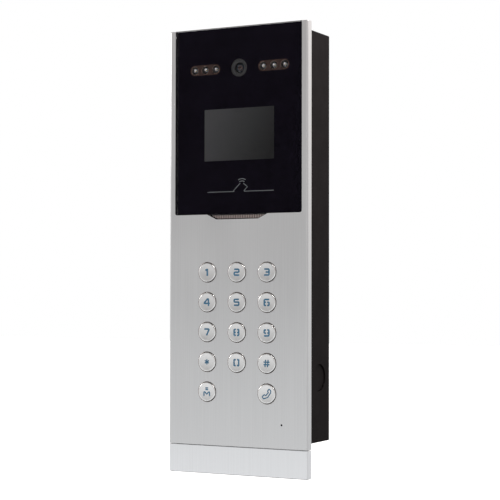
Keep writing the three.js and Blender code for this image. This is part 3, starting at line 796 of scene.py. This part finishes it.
def make_front_panel():
    panel = prism("front_panel_skin", rim_section(), FACE_BOTTOM, panel_hi.z, "Z", ALUMINIUM)
    round_end(panel, panel_hi.z, TOP_EDGE)
    round_end(panel, FACE_BOTTOM, SEAM_EDGE)
    window = rectangle(-POCKET_HALF, POCKET_HALF, glass_lo.z + 6.7 * MM, glass_hi.z - 16 * MM)
    pocket = rectangle(-POCKET_HALF, POCKET_HALF, FACE_BOTTOM + 8.2 * MM, glass_lo.z - 7.3 * MM)
    punch(panel, glass_outline(GAP, panel_hi.z + PAST), FRONT - PAST, RECESS_BACK, MACHINED)
    punch(panel, window, RECESS_BACK - PAST, RIM_BACK + PAST, MACHINED)
    punch(panel, pocket, FACE_BACK, RIM_BACK + PAST, MACHINED)
    punch(panel, slot_outline(0), FRONT - PAST, RIM_BACK + PAST, MACHINED)
    # The port's walls take the black print's colour: painted shade, so the small hole reads dark.
    punch(panel, circle(MIC.x, MIC.z, MIC_PORT_RADIUS, 24), FRONT - PAST, FACE_BACK + PAST, PRINT)
    for name in KEY_NAMES:
        centre = centre_of(name + "_cap")
        # The holes' walls take dark brown metal: painted shade in the gap round each cap.
        bore(panel, key_hole(), centre.x, centre.z, 72, KEY_HOLE_PAINTED_SHADE)
    for node in HOUSING_SCREWS:
        centre = centre_of(node)
        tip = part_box(node)[0].y - GAP
        punch(panel, circle(centre.x, centre.z, 1.8 * MM, 24), tip, RIM_BACK + PAST, MACHINED)
    add(panel, hook(-1), hook(1), tongue())
    place(panel, STATION, "brushed_aluminium", "front_panel", angle=28)


def make_bottom_cover():
    """The strip below the seam: hollow behind, and grooved to run on the tongue's ribs."""
    # The cover's metal is painted lighter than the panel's: painted light on the low strip.
    cover = prism("bottom_cover_skin", rim_section(), cover_lo.z, cover_hi.z, "Z", COVER_METAL_PAINTED_LIGHT)
    round_end(cover, cover_hi.z, SEAM_EDGE)
    round_end(cover, cover_lo.z, LOWER_EDGE)
    for half, front, back in (
        (62.3 * MM, FRONT + 2.8 * MM, RIM_BACK + PAST),
        (64.3 * MM, FRONT + 3.7 * MM, FRONT + 5.7 * MM),
    ):
        punch(cover, rectangle(-half, half, panel_lo.z - GAP, cover_hi.z + PAST), front, back, MACHINED)
    place(cover, COVER, "brushed_aluminium", "bottom_cover", angle=28)


# ---------------------------------------------------------------- glass, print and what shows through

SCREEN_WINDOW = (70.6 * MM, 46.7 * MM)
LAMP_WINDOW = (31.2 * MM, 9.5 * MM)
CAMERA_WINDOW_RADIUS = 8.15 * MM


def stadium(cx, cz, width, height, steps=16):
    radius, reach = height / 2, width / 2 - height / 2
    return arc(cx + reach, cz, radius, -90, 90, steps) + arc(cx - reach, cz, radius, 90, 270, steps)


def lamp_window_centres():
    xs = sorted(centre_of(node).x for node in LAMP_NODES)
    return [xs[1], xs[4]]


def make_pane():
    pane = prism("glass_pane", glass_outline(0, glass_hi.z), FRONT, glass_hi.y, "Y", PANE)
    bevel(pane, 0.3 * MM, 2, 50)
    place(pane, STATION, "window_glass", "window_glass")


def make_black_print():
    """The print behind the glass, with clear windows for the screen, the camera and the lamps."""
    front, back = glass_hi.y + 0.02 * MM, glass_hi.y + 0.12 * MM
    layer = prism("black_print", glass_outline(-0.2 * MM, glass_hi.z - 0.2 * MM), front, back, "Y", PRINT)
    width, height = SCREEN_WINDOW
    x0, z0 = SCREEN.x - width / 2, SCREEN.z - height / 2
    windows = [
        rounded_rectangle(x0, x0 + width, z0, z0 + height, 0.5 * MM, 4),
        circle(LENS.x, LENS.z, CAMERA_WINDOW_RADIUS),
        *[stadium(x, LENS.z, *LAMP_WINDOW) for x in lamp_window_centres()],
    ]
    for window in windows:
        punch(layer, window, front - 0.1 * MM, back + 0.1 * MM, PRINT)
    place(layer, STATION, "window_glass")


def make_seal():
    """The dark line between the glass and the sides of its recess."""
    front = FRONT + 0.45 * MM
    outline = glass_outline(0.26 * MM, glass_hi.z - 0.1 * MM)
    seal = prism("window_seal", outline, front, glass_hi.y, "Y", PRINT)
    punch(seal, glass_outline(0.02 * MM, glass_hi.z + PAST), front - PAST, glass_hi.y + PAST, PRINT)
    place(seal, STATION, "black_rubber")


def make_tape():
    """The foam tape that holds the glass in its recess."""
    front, back = glass_hi.y + 0.2 * MM, glass_hi.y + 0.75 * MM
    tape = prism("window_tape", glass_outline(-0.3 * MM, glass_hi.z - 0.5 * MM), front, back, "Y", FOAM)
    inner = rounded_rectangle(-53 * MM, 53 * MM, glass_lo.z + 7.4 * MM, glass_hi.z - 16.7 * MM, 1 * MM, 4)
    punch(tape, inner, front - PAST, back + PAST, FOAM)
    place(tape, STATION, "black_rubber")


def fillet_path(points, radius, steps=5):
    """A bent line with its inner corners rounded."""
    path = [Vector(points[0])]
    for before, corner, after in zip(points, points[1:], points[2:]):
        corner = Vector(corner)
        into, out = Vector(before) - corner, Vector(after) - corner
        half_angle = into.angle(out) / 2
        back = min(radius / math.tan(half_angle), into.length * 0.5, out.length * 0.5)
        start, end = corner + into.normalized() * back, corner + out.normalized() * back
        for i in range(steps + 1):
            t = i / steps
            path.append(start * (1 - t) ** 2 + corner * 2 * t * (1 - t) + end * t ** 2)
    path.append(Vector(points[-1]))
    return path


def resample(path, step):
    """The same line with extra points, so that no two are further apart than step."""
    points = [path[0]]
    for start, end in zip(path, path[1:]):
        count = max(1, math.ceil((end - start).length / step))
        points += [start.lerp(end, (i + 1) / count) for i in range(count)]
    return points


def ribbon(name, path, width, low, high, *materials):
    """A line drawn with a flat pen of the given width in X and Z, from y low to y high, ends square."""
    path = resample(path, 0.5 * MM)
    rows = []
    for i, point in enumerate(path):
        before = (path[max(i, 1)] - path[max(i, 1) - 1]).normalized()
        after = (path[i + 1] - path[i]).normalized() if i < len(path) - 1 else before
        along = (before + after).normalized()
        side = Vector((-along.y, along.x)) * (width / 2 / max(0.5, along.dot(before)))
        corners = [(point + side, low), (point - side, low), (point - side, high), (point + side, high)]
        rows.append([(flat.x, y, flat.y) for flat, y in corners])
    return skin(name, rows, *materials)


CARD_MARK_Z = 40.3 * MM
CARD_MARK_STROKE = 0.75 * MM


def make_card_mark():
    """A plain card-reader sign printed behind the glass: a base line with a peak, and two waves over it."""
    lines = [
        [(-32, 0), (-4.6, 0), (-5.4, 0.6), (1.6, 7.4)],
        [(35, 0), (5.6, 0), (5.4, 0.6), (8.8, 3.9), (4.6, 7.2)],
    ]
    waves = [arc(3.2, 3.6, 5.6, 62, 118, 10), arc(3.2, 3.6, 7.6, 60, 120, 12)]
    front, back = glass_hi.y + 0.005 * MM, glass_hi.y + 0.018 * MM

    def moved(points):
        return [(x * MM, CARD_MARK_Z + z * MM) for x, z in points]

    paths = [fillet_path(moved(line), 0.3 * MM, 3) for line in lines]
    paths += [[Vector(point) for point in moved(wave)] for wave in waves]
    pieces = [ribbon("mark", path, CARD_MARK_STROKE, front, back, MARK) for path in paths]
    mark = gather(pieces[0], *pieces[1:])
    mark.name = "card_mark"
    place(mark, STATION, "window_glass")


def make_screen():
    """The screen module: a cream tray, a thin steel frame, the dark polariser and a driver board."""
    low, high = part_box("lcd_module")

    def layer(name, side, end, radius, start, stop, material):
        outline = inset_outline("lcd_module", side * MM, end * MM, radius * MM)
        return prism(name, outline, low.y + start * MM, low.y + stop * MM, "Y", material)

    tray = layer("screen_module", 0, 0, 1, 0.6, 3.5, CREAM)
    bevel(tray, 0.2 * MM)
    rim = layer("rim", 0.1, 0.1, 1, 0.2, 1.6, ZINC)
    cut(rim, layer("cutter", 4.5, 2.5, 0.6, -1, 3, ZINC))
    panel = layer("panel", 4.7, 2.7, 0.5, 0, 0.5, POLARISER_PAINTED_SHEEN)
    driver_front = low.y + 3.5 * MM + 0.05 * MM
    driver = slab("driver", -20 * MM, 20 * MM, driver_front, high.y, low.z + 3 * MM, low.z + 17 * MM, BOARD)
    gather(tray, rim, panel, driver)
    place(tray, STATION, "screen", "lcd_module")


def make_lamp_holder():
    """The moulded bar behind the glass: a cup with a copper rim for each lamp, and the camera's opening."""
    low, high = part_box("lamp_holder")
    outline = inset_outline("lamp_holder", 0, 0, 2 * MM, 6)
    bar = prism("lamp_holder_bar", outline, low.y, high.y, "Y", HOLDER_PLASTIC)
    bevel(bar, 0.3 * MM)
    punch(bar, circle(LENS.x, LENS.z, 8.5 * MM), low.y - PAST, high.y + PAST, HOLDER_PLASTIC)
    cup = from_face(low.y, (0, -1), (4.1, -1), (3.8, 0), (3.3, 1.6), (2.9, 3))
    cup += from_face(high.y, (2.9, 1), (0, 1))
    wire = 0.14 * MM
    turn = [math.radians(45 * i) for i in range(8)]
    ring = [(3.75 * MM + wire * math.cos(a), low.y - 0.02 * MM + wire * math.sin(a)) for a in turn]
    rims = []
    for node in LAMP_NODES:
        x = centre_of(node).x
        bore(bar, cup, x, LENS.z, 48, CUP_GREY)
        rims.append(lathe("rim", ring, x, LENS.z, 48, COPPER_RIM))
    place(bar, STATION, "brown_plastic", "lamp_holder")
    rings = gather(rims[0], *rims[1:])
    rings.name = "lamp_rims"
    place(rings, STATION, "brown_plastic")


def make_lamp(node):
    """A 5 mm lamp: a clear domed body over a silver cup with its die, and two legs behind."""
    low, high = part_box(node)
    x, z = centre_of(node).x, centre_of(node).z
    radius = 2.5 * MM
    body = dome(radius, low.y, radius) + from_face(high.y, (2.5, -1), (2.9, -1), (2.9, 0), (0, 0))
    place(lathe(node + "_dome", body, x, z, 40, RESIN), STATION, "clear_lens", node)

    cup_y = low.y + 0.9 * MM
    bowl = from_face(cup_y, (0, 0.1), (0.5, 0.1), (1.2, -0.3), (1.4, -0.3), (1.2, 1.1), (0, 1.1))
    cup = lathe(node + "_core", bowl, x - 0.3 * MM, z + 0.5 * MM, 32, SILVER_CUP)
    die = slab("die", x - 0.2 * MM, x + 0.9 * MM, cup_y - 0.35 * MM, cup_y + 0.3 * MM,
               z - 0.4 * MM, z + 0.5 * MM, YELLOW_DIE)
    bevel(die, 0.08 * MM)
    legs = []
    for side in (-1, 1):
        leg_x, half = x + side * 1.27 * MM, 0.25 * MM
        legs.append(slab("leg", leg_x - half, leg_x + half, cup_y + 1.2 * MM, high.y + 0.28 * MM,
                         z - half, z + half, ZINC))
    shade = from_face(cup_y, (0, 0.6), (2.1, 0.1), (2.4, 1.2), (2.4, 3), (0, 3))
    gather(cup, die, lathe("reflector", shade, x, z, 32, BODY_GREY), *legs)
    place(cup, STATION, "zinc_steel")


def make_camera_barrel():
    """The stepped barrel behind the glass, with two rings turned into its mouth."""
    low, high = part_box("camera_barrel")
    profile = from_face(
        low.y,
        (8.1, 0.25), (7.85, 0), (7.2, 0), (7.0, 0.2), (6.6, 0.35), (6.4, 0.2), (5.9, 0.2), (5.5, 0.5),
        (5.2, 0.5), (4.9, 0.9), (4.6, 0.9), (4.4, 1.3),
    )
    profile += from_face(high.y, (4.4, 0), (7.0, 0)) + from_face(low.y, (7.0, 4.2), (8.1, 4.2))
    barrel = lathe("camera_barrel_skin", profile, LENS.x, LENS.z, 96, BARREL_PLASTIC)
    place(barrel, STATION, "black_plastic", "camera_barrel", angle=40)


def make_camera_lens():
    """The front lens, and behind it the stack of rings that shows through, tinted blue, red and reddish at
    the centre as painted reflections of the lens coatings.
    """
    low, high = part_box("camera_lens")
    x, z = LENS.x, LENS.z
    front = dome(4.1 * MM, low.y, 1.3 * MM) + from_face(low.y, (4.1, 2.2), (0, 2.2))
    place(lathe("camera_lens_front", front, x, z, 64, RESIN), STATION, "clear_lens", "camera_lens")
    y = low.y + 1.45 * MM

    def ring(name, inner, inner_depth, outer, outer_depth, steps, material):
        faces = from_face(y, (inner, inner_depth), (outer, outer_depth))
        backs = from_face(high.y, (outer, 0), (inner, 0))
        return lathe(name, faces + backs, x, z, steps, material)

    stack = ring("camera_lens_stack", 3.4, 0, 4.0, 0, 64, BARREL_PLASTIC)
    # Painted reflection: the blue ring, the red ring and the reddish pupil stand in for the coatings'
    # coloured glints.
    blue = ring("blue", 2.7, 0.3, 3.3, 0, 64, LENS_BLUE_PAINTED_REFLECTION)
    red = ring("red", 1.5, 0.6, 2.6, 0.2, 64, LENS_RED_PAINTED_REFLECTION)
    pupil = ring("pupil", 0, 0.3, 1.4, 0.7, 48, LENS_PUPIL_PAINTED_REFLECTION)
    gather(stack, blue, red, pupil)
    place(stack, STATION, "clear_lens", angle=40)


# ---------------------------------------------------------------- sound

MESH_PITCH = 2.4 * MM
MESH_FOLD = 1.5 * MM
MESH_THICKNESS = 0.35 * MM


def corrugated_sheet(front, inset):
    """A sheet in the slot folded into upright waves, cut to the slot's outline moved in by inset."""
    slope = (SLOT_TOP_HALF - SLOT_BOTTOM_HALF) / (SLOT_TOP - SLOT_BOTTOM)
    outline = slot_outline(-inset)
    low_half, bottom = outline[1]
    high_half, top = outline[2]
    step = MESH_PITCH / 8
    reach = int(high_half / step)
    rows = []
    for i in range(-reach, reach + 1):
        x = i * step
        foot = max(bottom, bottom + (abs(x) - low_half) / slope)
        wave = 0.5 + 1.3 * math.cos(2 * math.pi * x / MESH_PITCH)
        y = front + MESH_FOLD * min(1, max(0, wave))
        back = y + MESH_THICKNESS
        rows.append([(x, y, foot), (x, y, top), (x, back, top), (x, back, foot)])
    return skin("sheet", rows, MESH_METAL)


def make_speaker_mesh():
    """The sound outlet: a black pan with a flange, and a folded metal mesh in its mouth."""
    low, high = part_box("speaker_mesh")
    front = low.y + 0.3 * MM
    pan = prism("speaker_mesh_pan", slot_outline(-0.3 * MM), front, high.y - 0.7 * MM, "Y", CUP_DARK)
    flange = prism("flange", slot_outline(2.5 * MM), high.y - 0.8 * MM, high.y, "Y", CUP_DARK)
    add(pan, flange)
    punch(pan, slot_outline(-0.75 * MM), front - PAST, high.y + PAST, CUP_DARK)
    gather(pan, corrugated_sheet(front + 0.1 * MM, 0.78 * MM))
    place(pan, STATION, "mesh_metal", "speaker_mesh", angle=50)


def make_speaker():
    """The speaker: a domed centre, a rippled cone and a basket that narrows to its magnet."""
    low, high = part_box("speaker")
    centre = centre_of("speaker")
    y = low.y
    turn = [math.radians(angle) for angle in range(0, 90, 10)]
    cap = [(5 * MM * math.sin(a), y + 2.4 * MM - 1.6 * MM * math.cos(a)) for a in turn]
    steps = [i / 12 for i in range(13)]
    cone = [(5 * MM + 9 * MM * t, y + (2.4 - 1.4 * t) * MM + 0.25 * MM * math.sin(t * 18)) for t in steps]
    basket = from_face(y, (15.2, 0.5), (16.4, 0), (17.6, 0), (18, 0.4), (18, 2), (10.8, 5))
    basket += from_face(high.y, (10.8, -0.4), (10.4, 0), (0, 0))
    driver = lathe("speaker_driver", cap + cone + basket, centre.x, centre.z, 72, HOUSING_PLASTIC)
    place(driver, STATION, "black_plastic", "speaker")


# ---------------------------------------------------------------- keys

CAP_RADIUS = 8.7 * MM
CAP_EDGE = 0.85 * MM
CAP_DISH = 0.18 * MM
STROKES = {"1": 1.65 * MM, "star": 1.2 * MM, "hash": 1.2 * MM, "concierge": 1.15 * MM, "call": 1.0 * MM}
STROKE = 1.48 * MM
GLYPH_W, GLYPH_H = 2.35, 2.6
SPLIT = 0.62


def glyph_lines(label):
    """The centre lines of a key's sign in millimetres, as (points, corner radius) pairs."""
    w, h, s = GLYPH_W, GLYPH_H, SPLIT
    half_ring = [(-s, h), (-w, h), (-w, -h), (-s, -h)]
    mirrored = [(-x, z) for x, z in half_ring]
    signs = {
        "1": [([(-1.7, 1.75), (-0.35, 2.35)], 0), ([(0.25, h + 0.6), (0.25, -h - 0.6)], 0)],
        "2": [([(-w, h), (w, h), (w, 0), (-w, 0), (-w, -h), (w + 0.4, -h)], 1.1)],
        "3": [([(-w, h), (w, h), (w, -h), (-w - 0.2, -h)], 1.1), ([(-1.0, 0), (w - 0.4, 0)], 0)],
        "4": [([(0.9, h + 0.7), (-w - 0.8, -1.1), (w + 0.6, -1.1)], 0.4),
              ([(1.35, h + 0.8), (1.6, -h - 0.9)], 0)],
        "5": [([(w, h), (-w, h), (-w, 0.2), (w, 0.2), (w, -h), (-w - 0.2, -h)], 1.0)],
        "6": [([(w + 0.2, h), (-w, h), (-w, -h), (-s, -h)], 1.1), ([(-w, 0.2), (-s, 0.2)], 0),
              ([(s, 0.2), (w, 0.2), (w, -h), (s, -h)], 1.0)],
        "7": [([(-w - 0.2, h), (w, h), (-0.4, -h - 0.5)], 0.7)],
        "8": [(half_ring, 1.1), (mirrored, 1.1), ([(-w, 0), (-s, 0)], 0), ([(s, 0), (w, 0)], 0)],
        "9": [([(-w - 0.2, -h), (w, -h), (w, h), (s, h)], 1.1), ([(s, -0.2), (w, -0.2)], 0),
              ([(-s, h), (-w, h), (-w, -0.2), (-s, -0.2)], 1.0)],
        "0": [(half_ring, 0.5), (mirrored, 0.5)],
        "star": [([(0, 0), (2.4 * math.cos(a), 2.4 * math.sin(a))], 0)
                 for a in (math.radians(60 * k + 30) for k in range(6))],
        "hash": [([(x - 0.35, -3.2), (x + 0.35, 3.2)], 0) for x in (-1.2, 1.2)]
                + [([(-3.0, z), (3.0, z)], 0) for z in (-1.1, 1.1)],
        "concierge": [([(side * 2.9, -3.9), (side * 2.9, -0.2), (side * 1.9, -0.2), (0, -2.2)], 0.8)
                      for side in (-1, 1)] + [([(-1.4, z), (1.4, z)], 0) for z in (1.9, 3.4)],
        "call": [([(-0.8, -1.6), (-2.1, -0.6), (-4.3, -2.6), (-2.9, -4.5), (1.2, -2.9), (4.0, 0.9),
                   (4.3, 2.9), (2.5, 4.3), (0.9, 2.3), (1.9, 1.3), (-0.8, -1.6)], 0.5)],
    }
    return signs[label]


def glyph_pieces(label, centre, low, high, material):
    """Flat strokes for a key's sign between two y values."""
    made = []
    width = STROKES.get(label, STROKE)
    for points, radius in glyph_lines(label):
        moved = [(centre.x + x * MM, centre.z + z * MM) for x, z in points]
        path = fillet_path(moved, radius * MM) if radius else [Vector(p) for p in moved]
        made.append(ribbon("stroke", path, width, low, high, material))
    return made


def dish(radius, front):
    """The y of the cap's face at a distance from its centre: a very shallow dish."""
    return front + CAP_DISH * (1 - (radius / (CAP_RADIUS - CAP_EDGE)) ** 2)


def make_cap(name, node):
    """A key's satin cap: a dished face, a rounded edge, and a flange that stays behind the panel."""
    low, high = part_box(node)
    centre = centre_of(node)
    front, flat_radius = low.y, CAP_RADIUS - CAP_EDGE
    face = [(flat_radius * i / 8, dish(flat_radius * i / 8, front)) for i in range(9)]
    turn = [math.radians(angle) for angle in range(15, 91, 15)]
    edge = [(flat_radius + CAP_EDGE * math.sin(a), front + CAP_EDGE * (1 - math.cos(a))) for a in turn]
    back = [(CAP_RADIUS, high.y - 1 * MM)] + from_face(high.y, (10, -1), (10, 0), (6.8, 0))
    profile = face + edge + back + from_face(front, (6.8, 2), (0, 2))
    cap = lathe(name + "_face", profile, centre.x, centre.z, 72, SATIN)
    place(cap, name, "satin_silver", node, angle=38)


def make_legend(name, node, cap_node):
    """A key's light guide in the cap's hollow, and its sign laid into the cap's dish."""
    low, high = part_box(node)
    centre, front = centre_of(cap_node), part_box(cap_node)[0].y
    profile = from_face(low.y, (0, 0.1), (6.2, 0.1), (6.4, 0.3), (6.4, 1.6))
    profile += from_face(high.y, (3, 0), (0, 0))
    guide = lathe(name + "_legend", profile, centre.x, centre.z, 48, LEGEND)
    strokes = glyph_pieces(name.removeprefix("key_"), centre, front, front + 0.6 * MM, LEGEND)
    for stroke in strokes:
        for vertex in stroke.data.vertices:
            if vertex.co.y < front + 0.3 * MM:
                away = math.hypot(vertex.co.x - centre.x, vertex.co.z - centre.z)
                vertex.co.y = dish(away, front) - 0.02 * MM
    gather(guide, *strokes)
    place(guide, name, "legend_blue", node)


# ---------------------------------------------------------------- back box and what is behind

WALL = 1.5 * MM
BOX_EDGE_RADIUS = 1.5 * MM
KNOCKOUT_RADIUS = 12.2 * MM
KNOCKOUT_PLACE = (-21.5 * MM, -125.7 * MM)    # y and z
KNOCKOUT_SINK = 1.25 * MM
KNOCKOUT_GAP = 0.35 * MM
WALL_HOLE_X, WALL_HOLE_Z, WALL_HOLE_RADIUS = 45 * MM, 150 * MM, 2.5 * MM


def box_section():
    """The box's cross-section in X and Y, with its two edges against the wall rounded."""
    half, radius = gasket_hi.x, BOX_EDGE_RADIUS
    return (
        [(-half, box_lo.y), (half, box_lo.y)]
        + arc(half - radius, -radius, radius, 0, 90, 10)
        + arc(-half + radius, -radius, radius, 90, 180, 10)
    )


def knockout(side):
    """A disc sheared half through the side wall, and its hole: pushed in a little and held by two tabs."""
    half, radius = gasket_hi.x, KNOCKOUT_RADIUS
    y, z = KNOCKOUT_PLACE
    outside, inside = side * (half + PAST), side * (half - WALL - PAST)
    profile = [(0, outside), (radius, outside), (radius, inside), (0, inside)]
    hole = turned_x("cutter", profile, y, z, 72, BOX_PAINT)
    outer, inner = half - KNOCKOUT_SINK, half - KNOCKOUT_SINK - WALL
    rim = radius - KNOCKOUT_GAP
    profile = [(0, side * outer), (rim - 0.2 * MM, side * outer), (rim, side * (outer - 0.2 * MM)),
               (rim, side * inner), (0, side * inner)]
    disc = turned_x("disc", profile, y, z, 72, BOX_PAINT)
    low_x = half - WALL * 0.95 if side > 0 else -half + WALL * 0.05
    tabs = []
    for angle in (35, 215):
        outline = rectangle(-1.2 * MM, 1.2 * MM, radius - 1 * MM, radius + 0.6 * MM)
        tab = prism("tab", outline, 0, WALL * 0.9, "Z", BOX_PAINT)
        tab.data.transform(Matrix.Rotation(math.radians(-angle), 4, "Z"))
        tab.data.transform(Matrix.Rotation(math.radians(90), 4, "Y"))
        tab.data.transform(Matrix.Translation((low_x, y, z)))
        tabs.append(tab)
    return hole, add(disc, *tabs)


def lower_ear():
    """The ear under the box that takes the lock screws."""
    front, back = box_lo.y, box_lo.y + 3 * MM
    outline = rounded_rectangle(-52 * MM, 52 * MM, box_lo.z, gasket_lo.z + 4 * MM, 3 * MM)
    ear = prism("ear", outline, front, back, "Y", BOX_PAINT)
    boss = from_face(back, (0, -1), (4.6, -1), (4.2, 1), (4.2, 3.7), (3.9, 4), (0, 4))
    for node in LOCK_SCREWS:
        centre = centre_of(node)
        add(ear, lathe("boss", boss, centre.x, centre.z, 40, BOX_PAINT))
        punch(ear, circle(centre.x, centre.z, 2.3 * MM, 32), front - PAST, back + 6 * MM, ZINC)
    return ear


def wall_hole():
    """The section of a hole for a wall screw, with a chamfer at the wall."""
    radius, chamfer = WALL_HOLE_RADIUS, 0.5 * MM
    return [
        (0, PAST),
        (radius + chamfer + PAST, PAST),
        (radius, -chamfer),
        (radius, -WALL - PAST),
        (0, -WALL - PAST),
    ]


def make_back_box():
    bottom, top, half = gasket_lo.z, gasket_hi.z, gasket_hi.x
    shell = prism("back_box_shell", box_section(), bottom, top, "Z", BOX_PAINT)
    bevel(shell, 0.8 * MM, 3, 50)
    room = rounded_rectangle(-half + WALL, half - WALL, bottom + WALL, top - WALL, 1.5 * MM)
    punch(shell, room, box_lo.y - PAST, -WALL, BOX_PAINT)
    ear = lower_ear()
    punch(ear, rectangle(-60 * MM, 60 * MM, bottom + WALL, top), box_lo.y - PAST, 0, BOX_PAINT)
    lip = slab("lip", -58 * MM, 58 * MM, box_lo.y, box_lo.y + WALL, top - 6 * MM, top - 1 * MM, BOX_PAINT)
    add(shell, ear, lip)
    cable = centre_of("cable_grommet")
    punch(shell, circle(cable.x, cable.z, 11 * MM), -WALL - PAST, PAST, BOX_PAINT)
    for x in (-WALL_HOLE_X, WALL_HOLE_X):
        for z in (-WALL_HOLE_Z, WALL_HOLE_Z):
            bore(shell, wall_hole(), x, z, 40, BOX_PAINT)
    for side in (-1, 1):
        hole, disc = knockout(side)
        cut(shell, hole)
        add(shell, disc)
    place(shell, STATION, "black_paint", "back_box", angle=28)


def make_grommet():
    low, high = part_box("cable_grommet")
    centre = centre_of("cable_grommet")
    outside = from_face(low.y, (8.4, 0), (12.4, 0), (13, 0.6)) + from_face(-WALL, (13, -0.3), (10.7, -0.3))
    inside = from_face(high.y, (10.7, 0), (8.6, 0), (8, -0.5)) + from_face(low.y, (8, 0.5))
    bush = lathe("cable_bush", outside + inside, centre.x, centre.z, 72, RUBBER)
    place(bush, STATION, "black_rubber", "cable_grommet")


HEAD_HEIGHT = 2.2 * MM
THREAD_PITCH = 0.5 * MM
THREAD_DEPTH = 0.18 * MM


def star_outline(centre):
    """The six-lobed recess in a screw's head."""
    points = []
    for i in range(24):
        angle = 2 * math.pi * i / 24
        reach = (1.15 + 0.18 * math.cos(6 * angle)) * MM
        points.append((centre.x + reach * math.cos(angle), centre.z + reach * math.sin(angle)))
    return points


def make_screw(node, head_y, outward, radius, head_radius, countersunk):
    """A screw along Y with a star recess: outward is -1 where its head faces -Y."""
    low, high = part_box(node)
    centre = centre_of(node)
    tip = high.y if outward < 0 else low.y
    length = abs(tip - head_y)

    def at(depth):
        return head_y - outward * depth

    profile = [(0, at(0))]
    if countersunk:
        start = head_radius - radius
        profile += [(head_radius - 0.1 * MM, at(0)), (head_radius, at(0.15 * MM)), (radius, at(start))]
    else:
        start = HEAD_HEIGHT
        profile += [(head_radius - 0.6 * MM, at(0)), (head_radius, at(0.7 * MM)), (head_radius, at(start)),
                    (radius, at(start))]
    for i in range(int((length - start - 0.6 * MM) / THREAD_PITCH)):
        depth = start + 0.2 * MM + i * THREAD_PITCH
        profile += [(radius, at(depth)), (radius - THREAD_DEPTH, at(depth + THREAD_PITCH / 2))]
    profile += [(radius, at(length - 0.4 * MM)), (radius - 0.35 * MM, at(length)), (0, at(length))]
    screw = lathe(node + "_turned", profile, centre.x, centre.z, 32, ZINC)
    y0, y1 = sorted((at(-1 * MM), at(1.2 * MM)))
    punch(screw, star_outline(centre), y0, y1, ZINC)
    place(screw, STATION, "zinc_steel", node)


def make_screws():
    for node in LOCK_SCREWS:
        make_screw(node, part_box(node)[0].y, -1, 2 * MM, 3.8 * MM, True)
    for node in HOUSING_SCREWS:
        make_screw(node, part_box(node)[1].y, 1, 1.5 * MM, 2.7 * MM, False)


def dress_cad_nodes():
    """Gives the CAD nodes that keep their shape a finished material."""
    finishes = {
        "camera_board": BROWN_BOARD,
        "keypad_board": BOARD,
        "main_board": BOARD,
        "rfid_antenna": BOARD,
        "keypad_mat": SILICONE,
        "microphone": RUBBER,
        "rear_housing": HOUSING_PLASTIC,
        "terminal_block": GREEN_BLOCK,
        "box_gasket": FOAM,
    }
    for node, material in finishes.items():
        mesh = frame["nodes"][node].data
        for i in range(len(mesh.materials)):
            mesh.materials[i] = material


make_front_panel()
make_bottom_cover()
make_pane()
make_black_print()
make_seal()
make_tape()
make_card_mark()
make_screen()
make_lamp_holder()
for lamp_node in LAMP_NODES:
    make_lamp(lamp_node)
make_camera_barrel()
make_camera_lens()
make_speaker_mesh()
make_speaker()
for key_name in KEY_NAMES:
    make_cap(key_name, key_name + "_cap")
    make_legend(key_name, key_name + "_light_guide", key_name + "_cap")
make_back_box()
make_grommet()
make_screws()
dress_cad_nodes()
